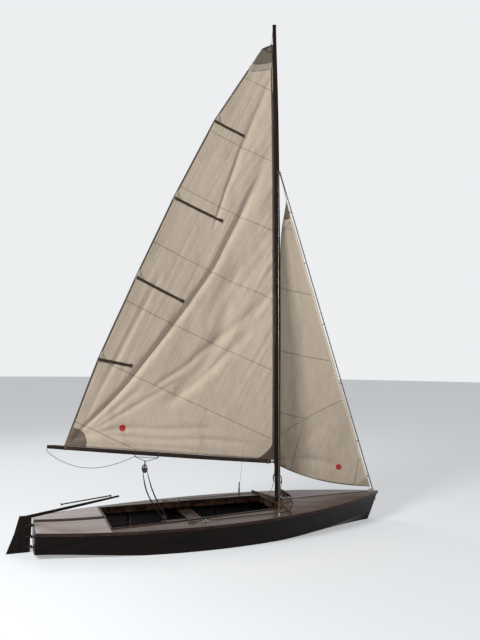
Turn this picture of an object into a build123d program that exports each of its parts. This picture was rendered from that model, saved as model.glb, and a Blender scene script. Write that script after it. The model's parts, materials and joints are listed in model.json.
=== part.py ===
from build123d import *
import os
from math import atan2, cos, degrees, hypot, radians, sin, tan

# Wooden hard-chine sailing dinghy, 5.0 m long, afloat under mainsail and jib.
# Millimetres. X runs forward, Y to port and Z up. The origin is amidships on the
# centreline, at the height of the water.

# Hull
HULL_LENGTH = 5000
AFT = -HULL_LENGTH / 2
FORE = HULL_LENGTH / 2
PLANK = 9                 # side and bottom planking
DECK = 8                  # deck plywood, measured straight down
TRANSOM = 22
BOW_HEIGHT = 410
STEM_RAKE = 23.0          # degrees, head forward
STEM_AT_WATER = FORE - BOW_HEIGHT * tan(radians(STEM_RAKE))
STEM_DEPTH = 80           # fore and aft, behind the raked face
STEM_HALF = 12
CHINE_LAP = 12            # how far the bottom planking turns up the side
KEEL_TONGUE_HALF = 14     # half the gap between the bottom planks
KEEL_HALF = 30
KEEL_DEPTH = 22           # outer keel below the planking
KEEL_INSIDE = 26          # tongue above the keel line, inside the boat
SKEG_DEPTH = 95           # at the transom
SKEG_LENGTH = 1150
RAIL_WIDTH = 18
RAIL_HEIGHT = 36

# Body sections. Columns: x where the section's plane meets the water, rake of the
# plane in degrees, keel height, chine half-breadth and height, sheer half-breadth
# and height, height of the deck on the centreline.
SECTIONS = [
    (AFT, 0, -15, 350, 60, 405, 329, 380),
    (AFT + 1000, 0, -95, 552, 15, 684, 332, 348),
    (AFT + 2000, 0, -145, 655, -22, 796, 342, 366),
    (AFT + 3000, 0, -155, 588, -6, 750, 358, 386),
    (AFT + 4000, 0, -135, 350, 52, 505, 381, 403),
    (STEM_AT_WATER, STEM_RAKE, -70, 10, 150, STEM_HALF, BOW_HEIGHT, 414),
]
# The same columns where the inside of the planking meets the stem.
STEM_REBATE = (STEM_AT_WATER - STEM_DEPTH, STEM_RAKE, -82, 44, 146, 62, 407, 413)

# Cockpit, deck and framing. Columns of the plan: x, half-breadth of the opening.
COCKPIT_AFT = AFT + 855
COCKPIT_FRONT = AFT + 3200
COCKPIT_PLAN = [(COCKPIT_AFT, 548), (AFT + 2050, 492), (COCKPIT_FRONT, 400)]
COAMING = 15              # thickness of the cockpit's edge boards
COAMING_RISE = 12         # above the deck
COAMING_DROP = 82         # below the top of the deck
BULKHEAD = 12
FORE_BULKHEAD_X = AFT + 3400
KINGPLANK_HALF = 68
RIDGE_HALF = 11
RIDGE_RISE = 5
RIB = 18                  # frame thickness, fore and aft
RIB_DEPTH = 42
RIB_STATIONS = [AFT + 1300, AFT + 2180, AFT + 2620, AFT + 3060]
BEAM = 30
BEAM_DEPTH = 60
FLOOR = 12
SLAT_EDGES = [(42, 122), (134, 214), (226, 306), (318, 398)]
BREAKWATER_THICKNESS = 14
BREAKWATER_HEIGHT = 34
BREAKWATER_IN = (AFT + 3300, 64)     # x, y
BREAKWATER_OUT = (AFT + 3188, 690)

# Centreboard and its case. Pivot: x, z.
CASE_AFT = AFT + 1620
CASE_FORE = AFT + 2965
CASE_WALL = 18
CASE_POST = 20
CASE_TOP = 212
CASE_CAP = 15
CASE_CAP_HALF = 46
BOARD_THICKNESS = 18
BOARD_PIVOT = (AFT + 2830, -60)
BOARD_HEAD_RADIUS = 104
BOARD_ABOVE_PIVOT = 226
BOARD_END_GAP = 18
PIN_RADIUS = 8
RUNNING_FIT = 0.05

# Thwart
THWART_AFT = AFT + 1960
THWART_WIDTH = 200
THWART = 20

# Mast. Its after face is raked and bowed forward a little above the boom, and the
# taper is on the fore side.
MAST_RAKE = 0.83          # degrees, head aft
MAST_BOW = 24
MAST_FACE_X = AFT + 3271.5    # after face where it passes the deck
MAST_DECK_Z = 380
MAST_TOP_Z = 7418
MAST_HEEL_Z = -100
# Columns: height, fore-and-aft size, athwartships size.
MAST_SIZES = [
    (MAST_HEEL_Z, 78, 66),
    (MAST_DECK_Z, 85, 70),
    (1100, 85, 70),
    (2400, 83, 69),
    (3900, 80, 67),
    (5400, 74, 62),
    (6500, 66, 56),
    (MAST_TOP_Z, 56, 50),
]
PARTNER_GAP = 2
COLLAR = 26
COLLAR_RISE = 18
STEP_HALF_LENGTH = 90
STEP_HALF_WIDTH = 45
STEP_MORTISE = 12         # how deep the heel stands in the step
CLEAT_Z = 690

# Boom and its hinge on the mast
BOOM_AXIS_GAP = 20        # hinge axis behind the mast's after face
GOOSENECK_Z = 932
BOOM_RISE = 6.19          # degrees, outer end up
BOOM_LENGTH = 3140
BOOM_HEIGHT = 54
BOOM_WIDTH = 42
BOOM_END_HEIGHT = 44
BOOM_START = 46           # from the hinge axis to the wood
HINGE_PIN = 5
TONGUE = 16
LUG = 5
LUG_GAP = 1.0
LUG_RADIUS = 12

# Sheet blocks, and the bar and vee under the boom that carry the upper one
BAIL_FROM = 2015          # along the boom from the hinge
BAIL_TO = 1703
BAIL_BAR = 50             # below the boom's middle
BAIL_DEEP = 100
BAIL_RADIUS = 4
BAIL_STRAP = 18           # strap round the boom, along it
BLOCK_RADIUS = 30
BLOCK_WIDTH = 26
BLOCK_DROP = 112          # upper block's middle below the vee
BLOCK_BASE = 6
BLOCK_FOOT = 20           # lower block above the case
LEAD_X = AFT + 2030
LEAD_Y = 615
LEAD_Z = 365
LEAD_HOLE = 9

# Standing rigging
HOUNDS_Z = 5178
HOUNDS_MAST = (75, 63)    # the mast there, fore and aft and athwartships
HOUNDS_OPEN = 14          # the band leaves the sail's side of the mast free
SHROUD_RADIUS = 2.0
STAY_RADIUS = 2.5
CHAINPLATE_X = AFT + 3000
CHAINPLATE_INBOARD = 24   # from the sheer
CHAINPLATE_RISE = 44
STAY_FOOT = (AFT + 4912, 452)        # x, z
HANK_HEIGHTS = [640, 1177, 2058, 2944, 3851, 4600]
EYE_HOLE = 7
EYE_PLATE = 8
EYE_RADIUS = 16
EYE_OUT = 13
BOW_EYE_Z = 290

# Sails. Their outlines are points of x and z.
CLOTH = 3
MAIN_GAP = 6              # between the luff and the mast
MAIN_HEAD_Z = 7123
HEADBOARD_OUT = (AFT + 3009, 7037)
HEADBOARD_LUFF = 140
HEADBOARD_RIM = 17
LEECH_MIDDLE = (AFT + 1455, 4120)
CLEW = (AFT + 332, 1287)
# Columns: luff height, angle of the chord above level, chord, depth of the belly.
MAIN_SECTIONS = [
    (915, BOOM_RISE, 3200, 8),
    (2200, 0, 2900, 150),
    (3800, -9, 2300, 130),
    (5500, -19, 1600, 75),
    (7220, -29, 520, 8),
]
# Columns: outer end x and z, inner end x and z.
BATTENS = [
    (AFT + 2290, 5828, AFT + 2761, 5672),
    (AFT + 1715, 4640, AFT + 2454, 4383),
    (AFT + 1212, 3492, AFT + 1912, 3195),
    (AFT + 735, 2378, AFT + 1197, 2292),
]
BATTEN_WIDTH = 34
JIB_STAY_GAP = 30
JIB_TACK_Z = 478
JIB_HEAD_Z = 4764
JIB_CLEW = (AFT + 3372, 868)
JIB_FOOT_MIDDLE = (AFT + 4080, 588)
# Columns: luff height, leech x, leech y, leech z, depth of the belly.
JIB_SECTIONS = [
    (380, AFT + 3290, 262, 690, 60),
    (1700, AFT + 3330, 190, 1760, 95),
    (3200, AFT + 3345, 95, 3240, 50),
    (4830, AFT + 3300, 6, 4820, 4),
]

# Rudder and tiller. Outline points are x and z.
RUDDER_AXIS_X = AFT - 24
RUDDER_THICKNESS = 22
RUDDER_EDGE_X = AFT - 38
RUDDER_HEEL = (AFT - 120, -545)
RUDDER_TOE = (AFT - 262, -572)
RUDDER_BELLY = (AFT - 392, -330)
RUDDER_WATER = (AFT - 314, 0)
CHEEK = 10
CHEEK_TOP = 440
CHEEK_LOW = 205
CHEEK_AFT = (AFT - 174, 440)
HINGE_HEIGHTS = [56, 178, 316]
GUDGEON_RADIUS = 11
GUDGEON_HEIGHT = 16
STRAP = 2.5
STRAP_LENGTH = 75
TILLER_ROOT = (AFT - 168, 412)
TILLER_TIP = (AFT + 1041, 602)
TILLER_HEIGHT = 40
TILLER_TIP_SIZE = 23
EXTENSION_PIVOT = (AFT + 931, 612)
EXTENSION_END = (AFT + 319, 541)
EXTENSION_RADIUS = 8

lean = radians(MAST_RAKE)
half_rig = 900            # half the width of a cutting block


def mast_face(height, behind=0.0):
    """X of the mast's after face at a height, or of a line behind it."""
    share = max(0.0, (height - GOOSENECK_Z) / (MAST_TOP_Z - GOOSENECK_Z))
    return MAST_FACE_X - (height - MAST_DECK_Z) * tan(lean) + MAST_BOW * 4 * share * (1 - share) - behind


def rig_plane(height, behind=0.0):
    """Plane across the mast: its X is forward and its Z is up along the mast."""
    return Plane(origin=(mast_face(height, behind), 0, height), x_dir=(cos(lean), 0, sin(lean)),
                 z_dir=(-sin(lean), 0, cos(lean)))


def section_plane(x, rake):
    """Plane of a body section: its X is to port and its Y is up along the rake."""
    angle = radians(rake)
    return Plane(origin=(x, 0, 0), x_dir=(0, 1, 0), z_dir=(cos(angle), 0, -sin(angle)))


def inset_corner(before, corner, after, inset_before, inset_after):
    """Corner of two lines after each has moved to its left by its own inset."""
    ax, ay = corner[0] - before[0], corner[1] - before[1]
    bx, by = after[0] - corner[0], after[1] - corner[1]
    la, lb = hypot(ax, ay), hypot(bx, by)
    px, py = corner[0] - ay / la * inset_before, corner[1] + ax / la * inset_before
    qx, qy = corner[0] - by / lb * inset_after, corner[1] + bx / lb * inset_after
    step = ((qx - px) * by - (qy - py) * bx) / (ax * by - ay * bx)
    return px + ax * step, py + ay * step


def envelope(rows, skin=0.0, deck_drop=0.0, start=AFT):
    """Solid inside the hull's lines, with its sides and its deck moved inwards."""
    with BuildPart() as body:
        for index, row in enumerate(rows):
            x, rake, keel_z, chine_y, chine_z, sheer_y, sheer_z, ridge_z = row
            keel, chine, sheer = (0, keel_z), (chine_y, chine_z), (sheer_y, sheer_z)
            low = inset_corner((-chine_y, chine_z), keel, chine, skin, skin)
            turn = inset_corner(keel, chine, sheer, skin, skin)
            flare = atan2(sheer_y - chine_y, sheer_z - chine_z)
            edge = (sheer_y - skin / cos(flare) - deck_drop * tan(flare), sheer_z - deck_drop)
            peak = (0, ridge_z - deck_drop)
            outline = [low, turn, edge, peak, (-edge[0], edge[1]), (-turn[0], turn[1])]
            stretch = 1 / cos(radians(rake))
            plane = section_plane(start if index == 0 else x, rake)
            with BuildSketch(plane):
                with BuildLine():
                    Polyline(*[(y, z * stretch) for y, z in outline], close=True)
                make_face()
        loft()
    return body.part


def block(x_low, x_high, y_low, y_high, z_low=-700, z_high=700):
    """Plain block between two corners, used to cut pieces to length."""
    with BuildPart() as piece:
        with Locations(((x_low + x_high) / 2, (y_low + y_high) / 2, (z_low + z_high) / 2)):
            Box(x_high - x_low, y_high - y_low, z_high - z_low)
    return piece.part


def raised(solid, height):
    """Copy of a solid moved straight up."""
    return solid.moved(Location((0, 0, height)))


def common(first, *others):
    """The space that all the solids share."""
    with BuildPart() as piece:
        add(first)
        for other in others:
            add(other, mode=Mode.INTERSECT)
    return piece.part


def less(first, *others):
    """A solid with others cut away."""
    with BuildPart() as piece:
        add(first)
        for other in others:
            add(other, mode=Mode.SUBTRACT)
    return piece.part


def joined(first, *others):
    """Solids fused into one node."""
    with BuildPart() as piece:
        add(first)
        for other in others:
            add(other)
    return piece.part


def to_starboard(piece):
    """Mirror image of a piece on the port side."""
    with BuildPart() as image:
        add(piece)
        mirror(about=Plane.XZ, mode=Mode.REPLACE)
    return image.part


def on_both_sides(piece):
    """A piece on the port side with its mirror image."""
    return joined(piece, to_starboard(piece))


def side_profile(points, half_width):
    """Outline of x and z points, extruded to both sides of the centreline."""
    with BuildPart() as piece:
        with BuildSketch(Plane.XZ):
            with BuildLine():
                Polyline(*points, close=True)
            make_face()
        extrude(amount=half_width, both=True)
    return piece.part


def rod(start, end, radius):
    """Round bar between two points."""
    a, b = Vector(*start), Vector(*end)
    with BuildPart() as piece:
        with BuildSketch(Plane(origin=a, z_dir=b - a)):
            Circle(radius)
        extrude(amount=(b - a).length)
    return piece.part


nodes = {}

# Hull envelopes: the outside, the inside of the planking, and the inside of the frames.
hull = envelope(SECTIONS)
under_deck = common(hull, raised(hull, -DECK))
deck_layer = less(hull, raised(hull, -DECK))
inside_rows = SECTIONS[:-1] + [STEM_REBATE]
inside = envelope(inside_rows, skin=PLANK, deck_drop=-70, start=AFT + TRANSOM)
hold = common(inside, under_deck)
inboard = AFT + TRANSOM
frame_line = envelope(SECTIONS[:-1], skin=PLANK + RIB_DEPTH, deck_drop=DECK + BEAM_DEPTH, start=inboard)
floor_line = envelope(SECTIONS[:-1], skin=PLANK + RIB_DEPTH + FLOOR, start=inboard)

with BuildPart() as ahead:
    with BuildSketch(section_plane(STEM_AT_WATER - STEM_DEPTH, STEM_RAKE)):
        Rectangle(600, 1800)
    extrude(amount=800)
ahead_of_rebate = ahead.part

# Side and bottom planking, parted along a line just above the chine.
with BuildPart() as chine_cut:
    with BuildSketch(Plane.XZ):
        with BuildLine():
            seam = Spline(*[(x + chine_z * tan(radians(rake)), chine_z + CHINE_LAP)
                            for x, rake, _, _, chine_z, _, _, _ in SECTIONS])
            Polyline(seam @ 1, (FORE + 100, 150), (FORE + 100, -400), (AFT - 100, -400),
                     (AFT - 100, SECTIONS[0][4] + CHINE_LAP), seam @ 0)
        make_face()
    extrude(amount=half_rig, both=True)
below_seam = chine_cut.part
planking = less(under_deck, inside, ahead_of_rebate, block(AFT - 50, AFT + TRANSOM, -half_rig, half_rig))
for name, low, high in [("port", KEEL_TONGUE_HALF, half_rig), ("starboard", -half_rig, -KEEL_TONGUE_HALF)]:
    side = block(AFT, FORE + 50, low, high)
    nodes["bottom_" + name] = common(planking, side, below_seam)
    whole_side = block(AFT, FORE + 50, min(low, 0), max(high, 0))
    nodes["side_" + name] = less(common(planking, whole_side), below_seam)
nodes["transom"] = common(under_deck, block(AFT, AFT + TRANSOM, -half_rig, half_rig))
nodes["stem"] = common(under_deck, ahead_of_rebate)

# Keel with its skeg. The tongue fills the gap between the bottom planks.
keel_line = [(x + keel_z * tan(radians(rake)), keel_z) for x, rake, keel_z, *_ in SECTIONS]
skeg_fore = (AFT + SKEG_LENGTH, -107 - KEEL_DEPTH)
outer_bottom = [(x, z - KEEL_DEPTH) for x, z in keel_line[2:5]]
rebate_foot = (STEM_REBATE[0] + STEM_REBATE[2] * tan(radians(STEM_RAKE)), STEM_REBATE[2])


def keel_blank(half_width, aft_end, rise):
    """Keel's side view, from its bottom edge to a line above the planking's keel line."""
    with BuildPart() as piece:
        with BuildSketch(Plane.XZ):
            with BuildLine():
                upper = Spline(*[(x, z + rise) for x, z in [*keel_line[:5], rebate_foot]])
                lower = Spline(skeg_fore, *outer_bottom, (rebate_foot[0], rebate_foot[1] - 2))
                Line(lower @ 1, upper @ 1)
                Polyline(upper @ 0, (AFT, SECTIONS[0][2] - SKEG_DEPTH), skeg_fore)
            make_face()
        extrude(amount=half_width, both=True)
        add(block(AFT - 50, aft_end, -half_rig, half_rig), mode=Mode.SUBTRACT)
    return piece.part


slot = block(CASE_AFT + CASE_POST, CASE_FORE - CASE_POST, -KEEL_TONGUE_HALF, KEEL_TONGUE_HALF)
keel_outside = less(keel_blank(KEEL_HALF, AFT, 12), hull)
keel_tongue = less(keel_blank(KEEL_TONGUE_HALF, AFT + TRANSOM, KEEL_INSIDE), ahead_of_rebate)
nodes["keel"] = less(joined(keel_outside, keel_tongue), slot)

# Cockpit opening and the boards round its edge.
(aft_x, aft_y), (mid_x, mid_y), (front_x, front_y) = COCKPIT_PLAN


def cockpit_plan(inset, low, high):
    """The opening's plan moved inwards, as an upright prism between two heights."""
    with BuildPart() as piece:
        with BuildSketch(Plane.XY.offset(low)):
            with BuildLine():
                port = ThreePointArc((aft_x + inset, aft_y - inset), (mid_x, mid_y - inset),
                                     (front_x - inset, front_y - inset))
                starboard = ThreePointArc((front_x - inset, inset - front_y), (mid_x, inset - mid_y),
                                          (aft_x + inset, inset - aft_y))
                Line(port @ 1, starboard @ 0)
                Line(starboard @ 1, port @ 0)
            make_face()
        extrude(amount=high - low)
    return piece.part


opening = cockpit_plan(0, 200, 700)
edge_ring = less(cockpit_plan(0, 100, 700), cockpit_plan(COAMING, 50, 750))
edge_band = common(edge_ring, less(raised(hull, COAMING_RISE), raised(hull, -COAMING_DROP)))
aft_board = common(edge_band, block(COCKPIT_AFT, COCKPIT_AFT + COAMING, -half_rig, half_rig))
front_board = common(edge_band, block(COCKPIT_FRONT - COAMING, COCKPIT_FRONT, -half_rig, half_rig))
port_board = common(edge_band, block(COCKPIT_AFT + COAMING, COCKPIT_FRONT - COAMING, 0, half_rig))
nodes["coaming"] = joined(aft_board, front_board, port_board, to_starboard(port_board))

# Mast. Ovals of four arcs across the raked after face, so the taper falls on the fore side.
def mast_body(grow):
    """The mast, or a thicker body of the same form."""
    with BuildPart() as piece:
        for height, length, width in MAST_SIZES:
            long, wide = length / 2 + grow, width / 2 + grow
            with BuildSketch(rig_plane(height, -length / 2)):
                with BuildLine():
                    for start in (0, 90, 180, 270):
                        ThreePointArc(*[(long * cos(radians(turn)), wide * sin(radians(turn)))
                                        for turn in (start, start + 45, start + 90)])
                make_face()
        loft()
    return piece.part


nodes["mast"] = mast_body(0)
partner_hole = mast_body(PARTNER_GAP)
collar_body = mast_body(COLLAR)

# Decks, in port and starboard halves.
fore_area = block(COCKPIT_FRONT, FORE + 50, 0, half_rig)
side_area = block(COCKPIT_AFT, COCKPIT_FRONT, 0, half_rig)
aft_area = block(AFT, COCKPIT_AFT, KINGPLANK_HALF, half_rig)
deck_halves = {
    "foredeck": less(common(deck_layer, fore_area), partner_hole),
    "side_deck": less(common(deck_layer, side_area), opening),
    "afterdeck": common(deck_layer, aft_area),
}
for name, piece in deck_halves.items():
    nodes[name + "_port"] = piece
    nodes[name + "_starboard"] = to_starboard(piece)
nodes["afterdeck_kingplank"] = common(deck_layer, block(AFT, COCKPIT_AFT, -KINGPLANK_HALF, KINGPLANK_HALF))
ridge_aft = mast_face(MAST_DECK_Z) + MAST_SIZES[1][1] + COLLAR + 2
ridge_area = less(block(ridge_aft, FORE, -RIDGE_HALF, RIDGE_HALF), block(FORE - 175, FORE, -60, 60))
nodes["foredeck_ridge"] = common(less(raised(hull, RIDGE_RISE), hull), ridge_area)
collar_ring = less(less(raised(hull, COLLAR_RISE), hull), partner_hole)
nodes["mast_collar"] = common(collar_ring, collar_body, block(COCKPIT_FRONT, FORE, -half_rig, half_rig))

# Low breakwater from the mast out to the edges of the foredeck.
with BuildPart() as arm:
    with BuildSketch(Plane.XY.offset(200)):
        with BuildLine():
            line = Line(BREAKWATER_IN, BREAKWATER_OUT)
            Polyline(line @ 1, (BREAKWATER_OUT[0] + BREAKWATER_THICKNESS, BREAKWATER_OUT[1]),
                     (BREAKWATER_IN[0] + BREAKWATER_THICKNESS, BREAKWATER_IN[1]), line @ 0)
        make_face()
    extrude(amount=400)
port_arm = common(less(raised(hull, BREAKWATER_HEIGHT), hull), arm.part)
nodes["breakwater"] = on_both_sides(port_arm)

# Rub rails along the sheer.
with BuildPart() as rail:
    for x, rake, _, _, _, sheer_y, sheer_z, _ in SECTIONS:
        stretch = 1 / cos(radians(rake))
        with BuildSketch(section_plane(x, rake)):
            with Locations((sheer_y + RAIL_WIDTH - 20, (sheer_z - RAIL_HEIGHT / 2) * stretch)):
                Rectangle(40, RAIL_HEIGHT * stretch)
    loft()
    add(hull, mode=Mode.SUBTRACT)
    add(block(AFT - 50, FORE + 50, 0, half_rig), mode=Mode.INTERSECT)
nodes["rub_rail_port"] = rail.part
nodes["rub_rail_starboard"] = to_starboard(rail.part)

# Bulkheads, frames with their side-deck beams, and the beam at the mast.
nodes["aft_bulkhead"] = less(common(hold, block(COCKPIT_AFT - BULKHEAD, COCKPIT_AFT, -half_rig, half_rig)),
                             nodes["keel"])
nodes["fore_bulkhead"] = less(common(hold, block(FORE_BULKHEAD_X, FORE_BULKHEAD_X + BULKHEAD,
                                                 -half_rig, half_rig)), nodes["keel"])
case_outside = block(CASE_AFT, CASE_FORE, -KEEL_TONGUE_HALF - CASE_WALL, KEEL_TONGUE_HALF + CASE_WALL)
frame_space = less(less(hold, frame_line), opening, nodes["keel"], case_outside)
frames = [common(frame_space, block(x, x + RIB, -half_rig, half_rig)) for x in RIB_STATIONS]
mast_beam_area = block(COCKPIT_FRONT, COCKPIT_FRONT + BEAM, -half_rig, half_rig)
mast_beam = less(common(hold, mast_beam_area), raised(hull, -DECK - BEAM_DEPTH))
nodes["frames"] = joined(mast_beam, *frames)

# Mast step on the keel, with a mortise for the heel.
step_x = mast_face(MAST_HEEL_Z) + MAST_SIZES[0][1] / 2
step_blank = block(step_x - STEP_HALF_LENGTH, FORE_BULKHEAD_X - 6, -STEP_HALF_WIDTH, STEP_HALF_WIDTH,
                   -300, MAST_HEEL_Z + STEP_MORTISE)
nodes["mast_step"] = less(common(hold, step_blank), nodes["keel"], nodes["mast"])

# Centreboard case, open at the bottom, with the pivot bolt across it.
pivot_x, pivot_z = BOARD_PIVOT
case_walls = less(block(CASE_AFT, CASE_FORE, -KEEL_TONGUE_HALF - CASE_WALL, KEEL_TONGUE_HALF + CASE_WALL,
                        -300, CASE_TOP), slot)
case_cap = block(CASE_AFT, CASE_FORE, -CASE_CAP_HALF, CASE_CAP_HALF, CASE_TOP, CASE_TOP + CASE_CAP)
pivot_bolt = rod((pivot_x, -KEEL_TONGUE_HALF - CASE_WALL - 6, pivot_z),
                 (pivot_x, KEEL_TONGUE_HALF + CASE_WALL + 6, pivot_z), PIN_RADIUS)
nodes["centreboard_case"] = less(common(joined(case_walls, case_cap, pivot_bolt), hold), nodes["keel"])

# Thwart across the after part of the case.
thwart_low = CASE_TOP + CASE_CAP
nodes["thwart"] = common(hold, block(THWART_AFT, THWART_AFT + THWART_WIDTH, -half_rig, half_rig,
                                     thwart_low, thwart_low + THWART))

# Floor slats on the frames.
floor_space = common(less(frame_line, floor_line), hold)
slats = []
for low, high in SLAT_EDGES:
    for y_low, y_high in [(low, high), (-high, -low)]:
        slat_area = block(COCKPIT_AFT + 4, FORE_BULKHEAD_X - 8, y_low, y_high, -300, 60)
        slats.append(common(floor_space, slat_area))
nodes["floorboards"] = joined(*slats)

# Centreboard, drawn raised in its case. The head is round about the pivot.
tail_x = CASE_AFT + CASE_POST + BOARD_END_GAP
board_top = pivot_z + BOARD_ABOVE_PIVOT
board_low = pivot_z - BOARD_HEAD_RADIUS
with BuildPart() as board:
    with BuildSketch(Plane.XZ):
        with BuildLine():
            front = (pivot_x + BOARD_HEAD_RADIUS, pivot_z)
            head = RadiusArc((pivot_x, board_low), front, -BOARD_HEAD_RADIUS)
            Polyline(head @ 1, (pivot_x - 30, board_top), (tail_x + 90, board_top), (tail_x, board_top - 90),
                     (tail_x, board_low + 40), (tail_x + 40, board_low), head @ 0)
        make_face()
        with Locations((pivot_x, pivot_z)):
            Circle(PIN_RADIUS + RUNNING_FIT, mode=Mode.SUBTRACT)
    extrude(amount=BOARD_THICKNESS / 2, both=True)
nodes["centreboard"] = board.part

# Gooseneck: lugs and a pin on the mast, a tongue on the boom.
hinge_plane = rig_plane(GOOSENECK_Z, BOOM_AXIS_GAP)
lug_low = TONGUE / 2 + LUG_GAP
with BuildPart() as gooseneck:
    for side in (1, -1):
        start = lug_low if side > 0 else -lug_low - LUG
        with BuildSketch(hinge_plane.offset(start)):
            Circle(LUG_RADIUS)
            with Locations((BOOM_AXIS_GAP / 2, 0)):
                Rectangle(BOOM_AXIS_GAP, 2 * LUG_RADIUS)
        extrude(amount=LUG)
    with BuildSketch(hinge_plane.offset(-40)):
        with Locations((BOOM_AXIS_GAP - 2, 0)):
            Rectangle(5, 2 * LUG_RADIUS)
    extrude(amount=80)
    with BuildSketch(hinge_plane.offset(-lug_low - LUG - 4)):
        Circle(HINGE_PIN)
    extrude(amount=2 * (lug_low + LUG + 4))
    add(nodes["mast"], mode=Mode.SUBTRACT)

# Boom: rounded sections along its length, with a straight upper face.
rise = radians(BOOM_RISE)
hinge_x = mast_face(GOOSENECK_Z, BOOM_AXIS_GAP)


def boom_point(distance, height=0.0):
    """X and Z of a place on the boom: distance aft of the hinge, height above its middle."""
    return (hinge_x - distance * cos(rise) + height * sin(rise),
            GOOSENECK_Z + distance * sin(rise) + height * cos(rise))


def boom_plane(distance, height=0.0):
    """Plane across the boom: its X is to port and its Y is up."""
    x, z = boom_point(distance, height)
    return Plane(origin=(x, 0, z), x_dir=(0, 1, 0), z_dir=(cos(rise), 0, -sin(rise)))


with BuildPart() as boom:
    for distance, height, width in [(BOOM_START, BOOM_HEIGHT - 4, BOOM_WIDTH - 4),
                                    (BOOM_LENGTH / 2, BOOM_HEIGHT, BOOM_WIDTH),
                                    (BOOM_LENGTH, BOOM_END_HEIGHT, BOOM_WIDTH - 8)]:
        with BuildSketch(boom_plane(distance)):
            with Locations((0, (BOOM_HEIGHT - height) / 2)):
                RectangleRounded(width, height, 12)
    loft()
nodes["boom"] = boom.part
with BuildPart() as tongue:
    with BuildSketch(hinge_plane.offset(-TONGUE / 2)):
        Circle(LUG_RADIUS - 1)
        with Locations((-BOOM_START / 2 - 8, 0)):
            Rectangle(BOOM_START + 16, TONGUE)
        Circle(HINGE_PIN + RUNNING_FIT, mode=Mode.SUBTRACT)
    extrude(amount=TONGUE)
    with BuildSketch(boom_plane(BOOM_START)):
        with Locations((0, 2)):
            RectangleRounded(BOOM_WIDTH - 6, BOOM_HEIGHT - 6, 10)
    extrude(amount=4)
    add(nodes["boom"], mode=Mode.SUBTRACT)

# Under the boom: two straps with a bar between them, a vee below it, and the sheet's upper block.
bail_ends = [boom_point(distance, -BAIL_BAR) for distance in (BAIL_FROM, BAIL_TO)]
vee_x, vee_z = boom_point((BAIL_FROM + BAIL_TO) / 2, -BAIL_DEEP)
(from_x, from_z), (to_x, to_z) = bail_ends
with BuildPart() as bail:
    with BuildLine():
        FilletPolyline((from_x, 0, from_z), (vee_x, 0, vee_z), (to_x, 0, to_z), radius=40)
    with BuildSketch(Plane(origin=(from_x, 0, from_z), z_dir=(vee_x - from_x, 0, vee_z - from_z))):
        Circle(BAIL_RADIUS)
    sweep()
    add(rod((from_x - 10, 0, from_z), (to_x + 10, 0, to_z), BAIL_RADIUS))
    for distance in (BAIL_FROM, BAIL_TO):
        top_x, top_z = boom_point(distance, -BOOM_HEIGHT / 4)
        foot_x, foot_z = boom_point(distance, -BAIL_BAR - BAIL_RADIUS)
        add(rod((top_x, 0, top_z), (foot_x, 0, foot_z), BAIL_RADIUS + 2))
        with BuildSketch(boom_plane(distance + BAIL_STRAP / 2)):
            RectangleRounded(BOOM_WIDTH + 5, BOOM_HEIGHT + 5, 13)
            with Locations((0, BOOM_HEIGHT / 2)):
                Rectangle(14, 20, mode=Mode.SUBTRACT)
        extrude(amount=BAIL_STRAP)
    add(nodes["boom"], mode=Mode.SUBTRACT)
nodes["boom_fittings"] = joined(tongue.part, bail.part)
block_x, block_z = boom_point((BAIL_FROM + BAIL_TO) / 2, -BAIL_DEEP - BLOCK_DROP)


def sheet_block(x, z, link):
    """Two cheeks and a sheave on a pin, with a link of the given height above."""
    with BuildPart() as piece:
        with BuildSketch(Plane.XZ.offset(-BLOCK_WIDTH / 2)):
            with Locations((x, z)):
                Circle(BLOCK_RADIUS)
        extrude(amount=BLOCK_WIDTH)
        with BuildSketch(Plane.XZ.offset(-BLOCK_WIDTH / 2 + 4)):
            with Locations((x, z)):
                Circle(BLOCK_RADIUS + 2)
                Circle(BLOCK_RADIUS - 7, mode=Mode.SUBTRACT)
        extrude(amount=BLOCK_WIDTH - 8, mode=Mode.SUBTRACT)
        if link > 0:
            with Locations((x, 0, z + BLOCK_RADIUS + link / 2 - 3)):
                Box(12, BLOCK_WIDTH, link + 6)
    return piece.part


link_up = BLOCK_DROP - BLOCK_RADIUS + 2
nodes["upper_block"] = less(sheet_block(block_x, block_z, link_up), bail.part)
lower_x = CASE_AFT + 34
cap_top = CASE_TOP + CASE_CAP
with BuildPart() as lower:
    add(sheet_block(lower_x, cap_top + BLOCK_FOOT + BLOCK_RADIUS, 0))
    with Locations((lower_x, 0, cap_top + BLOCK_BASE / 2)):
        Box(60, BLOCK_WIDTH + 12, BLOCK_BASE)
    with Locations((lower_x, 0, cap_top + BLOCK_FOOT / 2 + 2)):
        Box(12, BLOCK_WIDTH, BLOCK_FOOT)
nodes["lower_block"] = lower.part

# Sails. Each is a thin cambered sheet, lofted and trimmed to its outline.
def sail_sheet(rows, fullest=0.5):
    """Sheet of cloth through shallow arcs. Rows: luff point, leech point, belly to port."""
    with BuildPart() as sheet:
        for luff, leech, belly in rows:
            chord_line = leech - luff
            chord, aft = chord_line.length, chord_line.normalized()
            port = Vector(0, 1, 0) - aft * aft.Y
            with BuildSketch(Plane(origin=luff, x_dir=aft, z_dir=aft.cross(port))):
                with BuildLine():
                    near = ThreePointArc((0, 0), (chord * fullest, belly), (chord, 0))
                    far = ThreePointArc((chord, CLOTH), (chord * fullest, belly + CLOTH), (0, CLOTH))
                    Line(near @ 1, far @ 0)
                    Line(far @ 1, near @ 0)
                make_face()
        loft()
    return sheet.part


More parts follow.
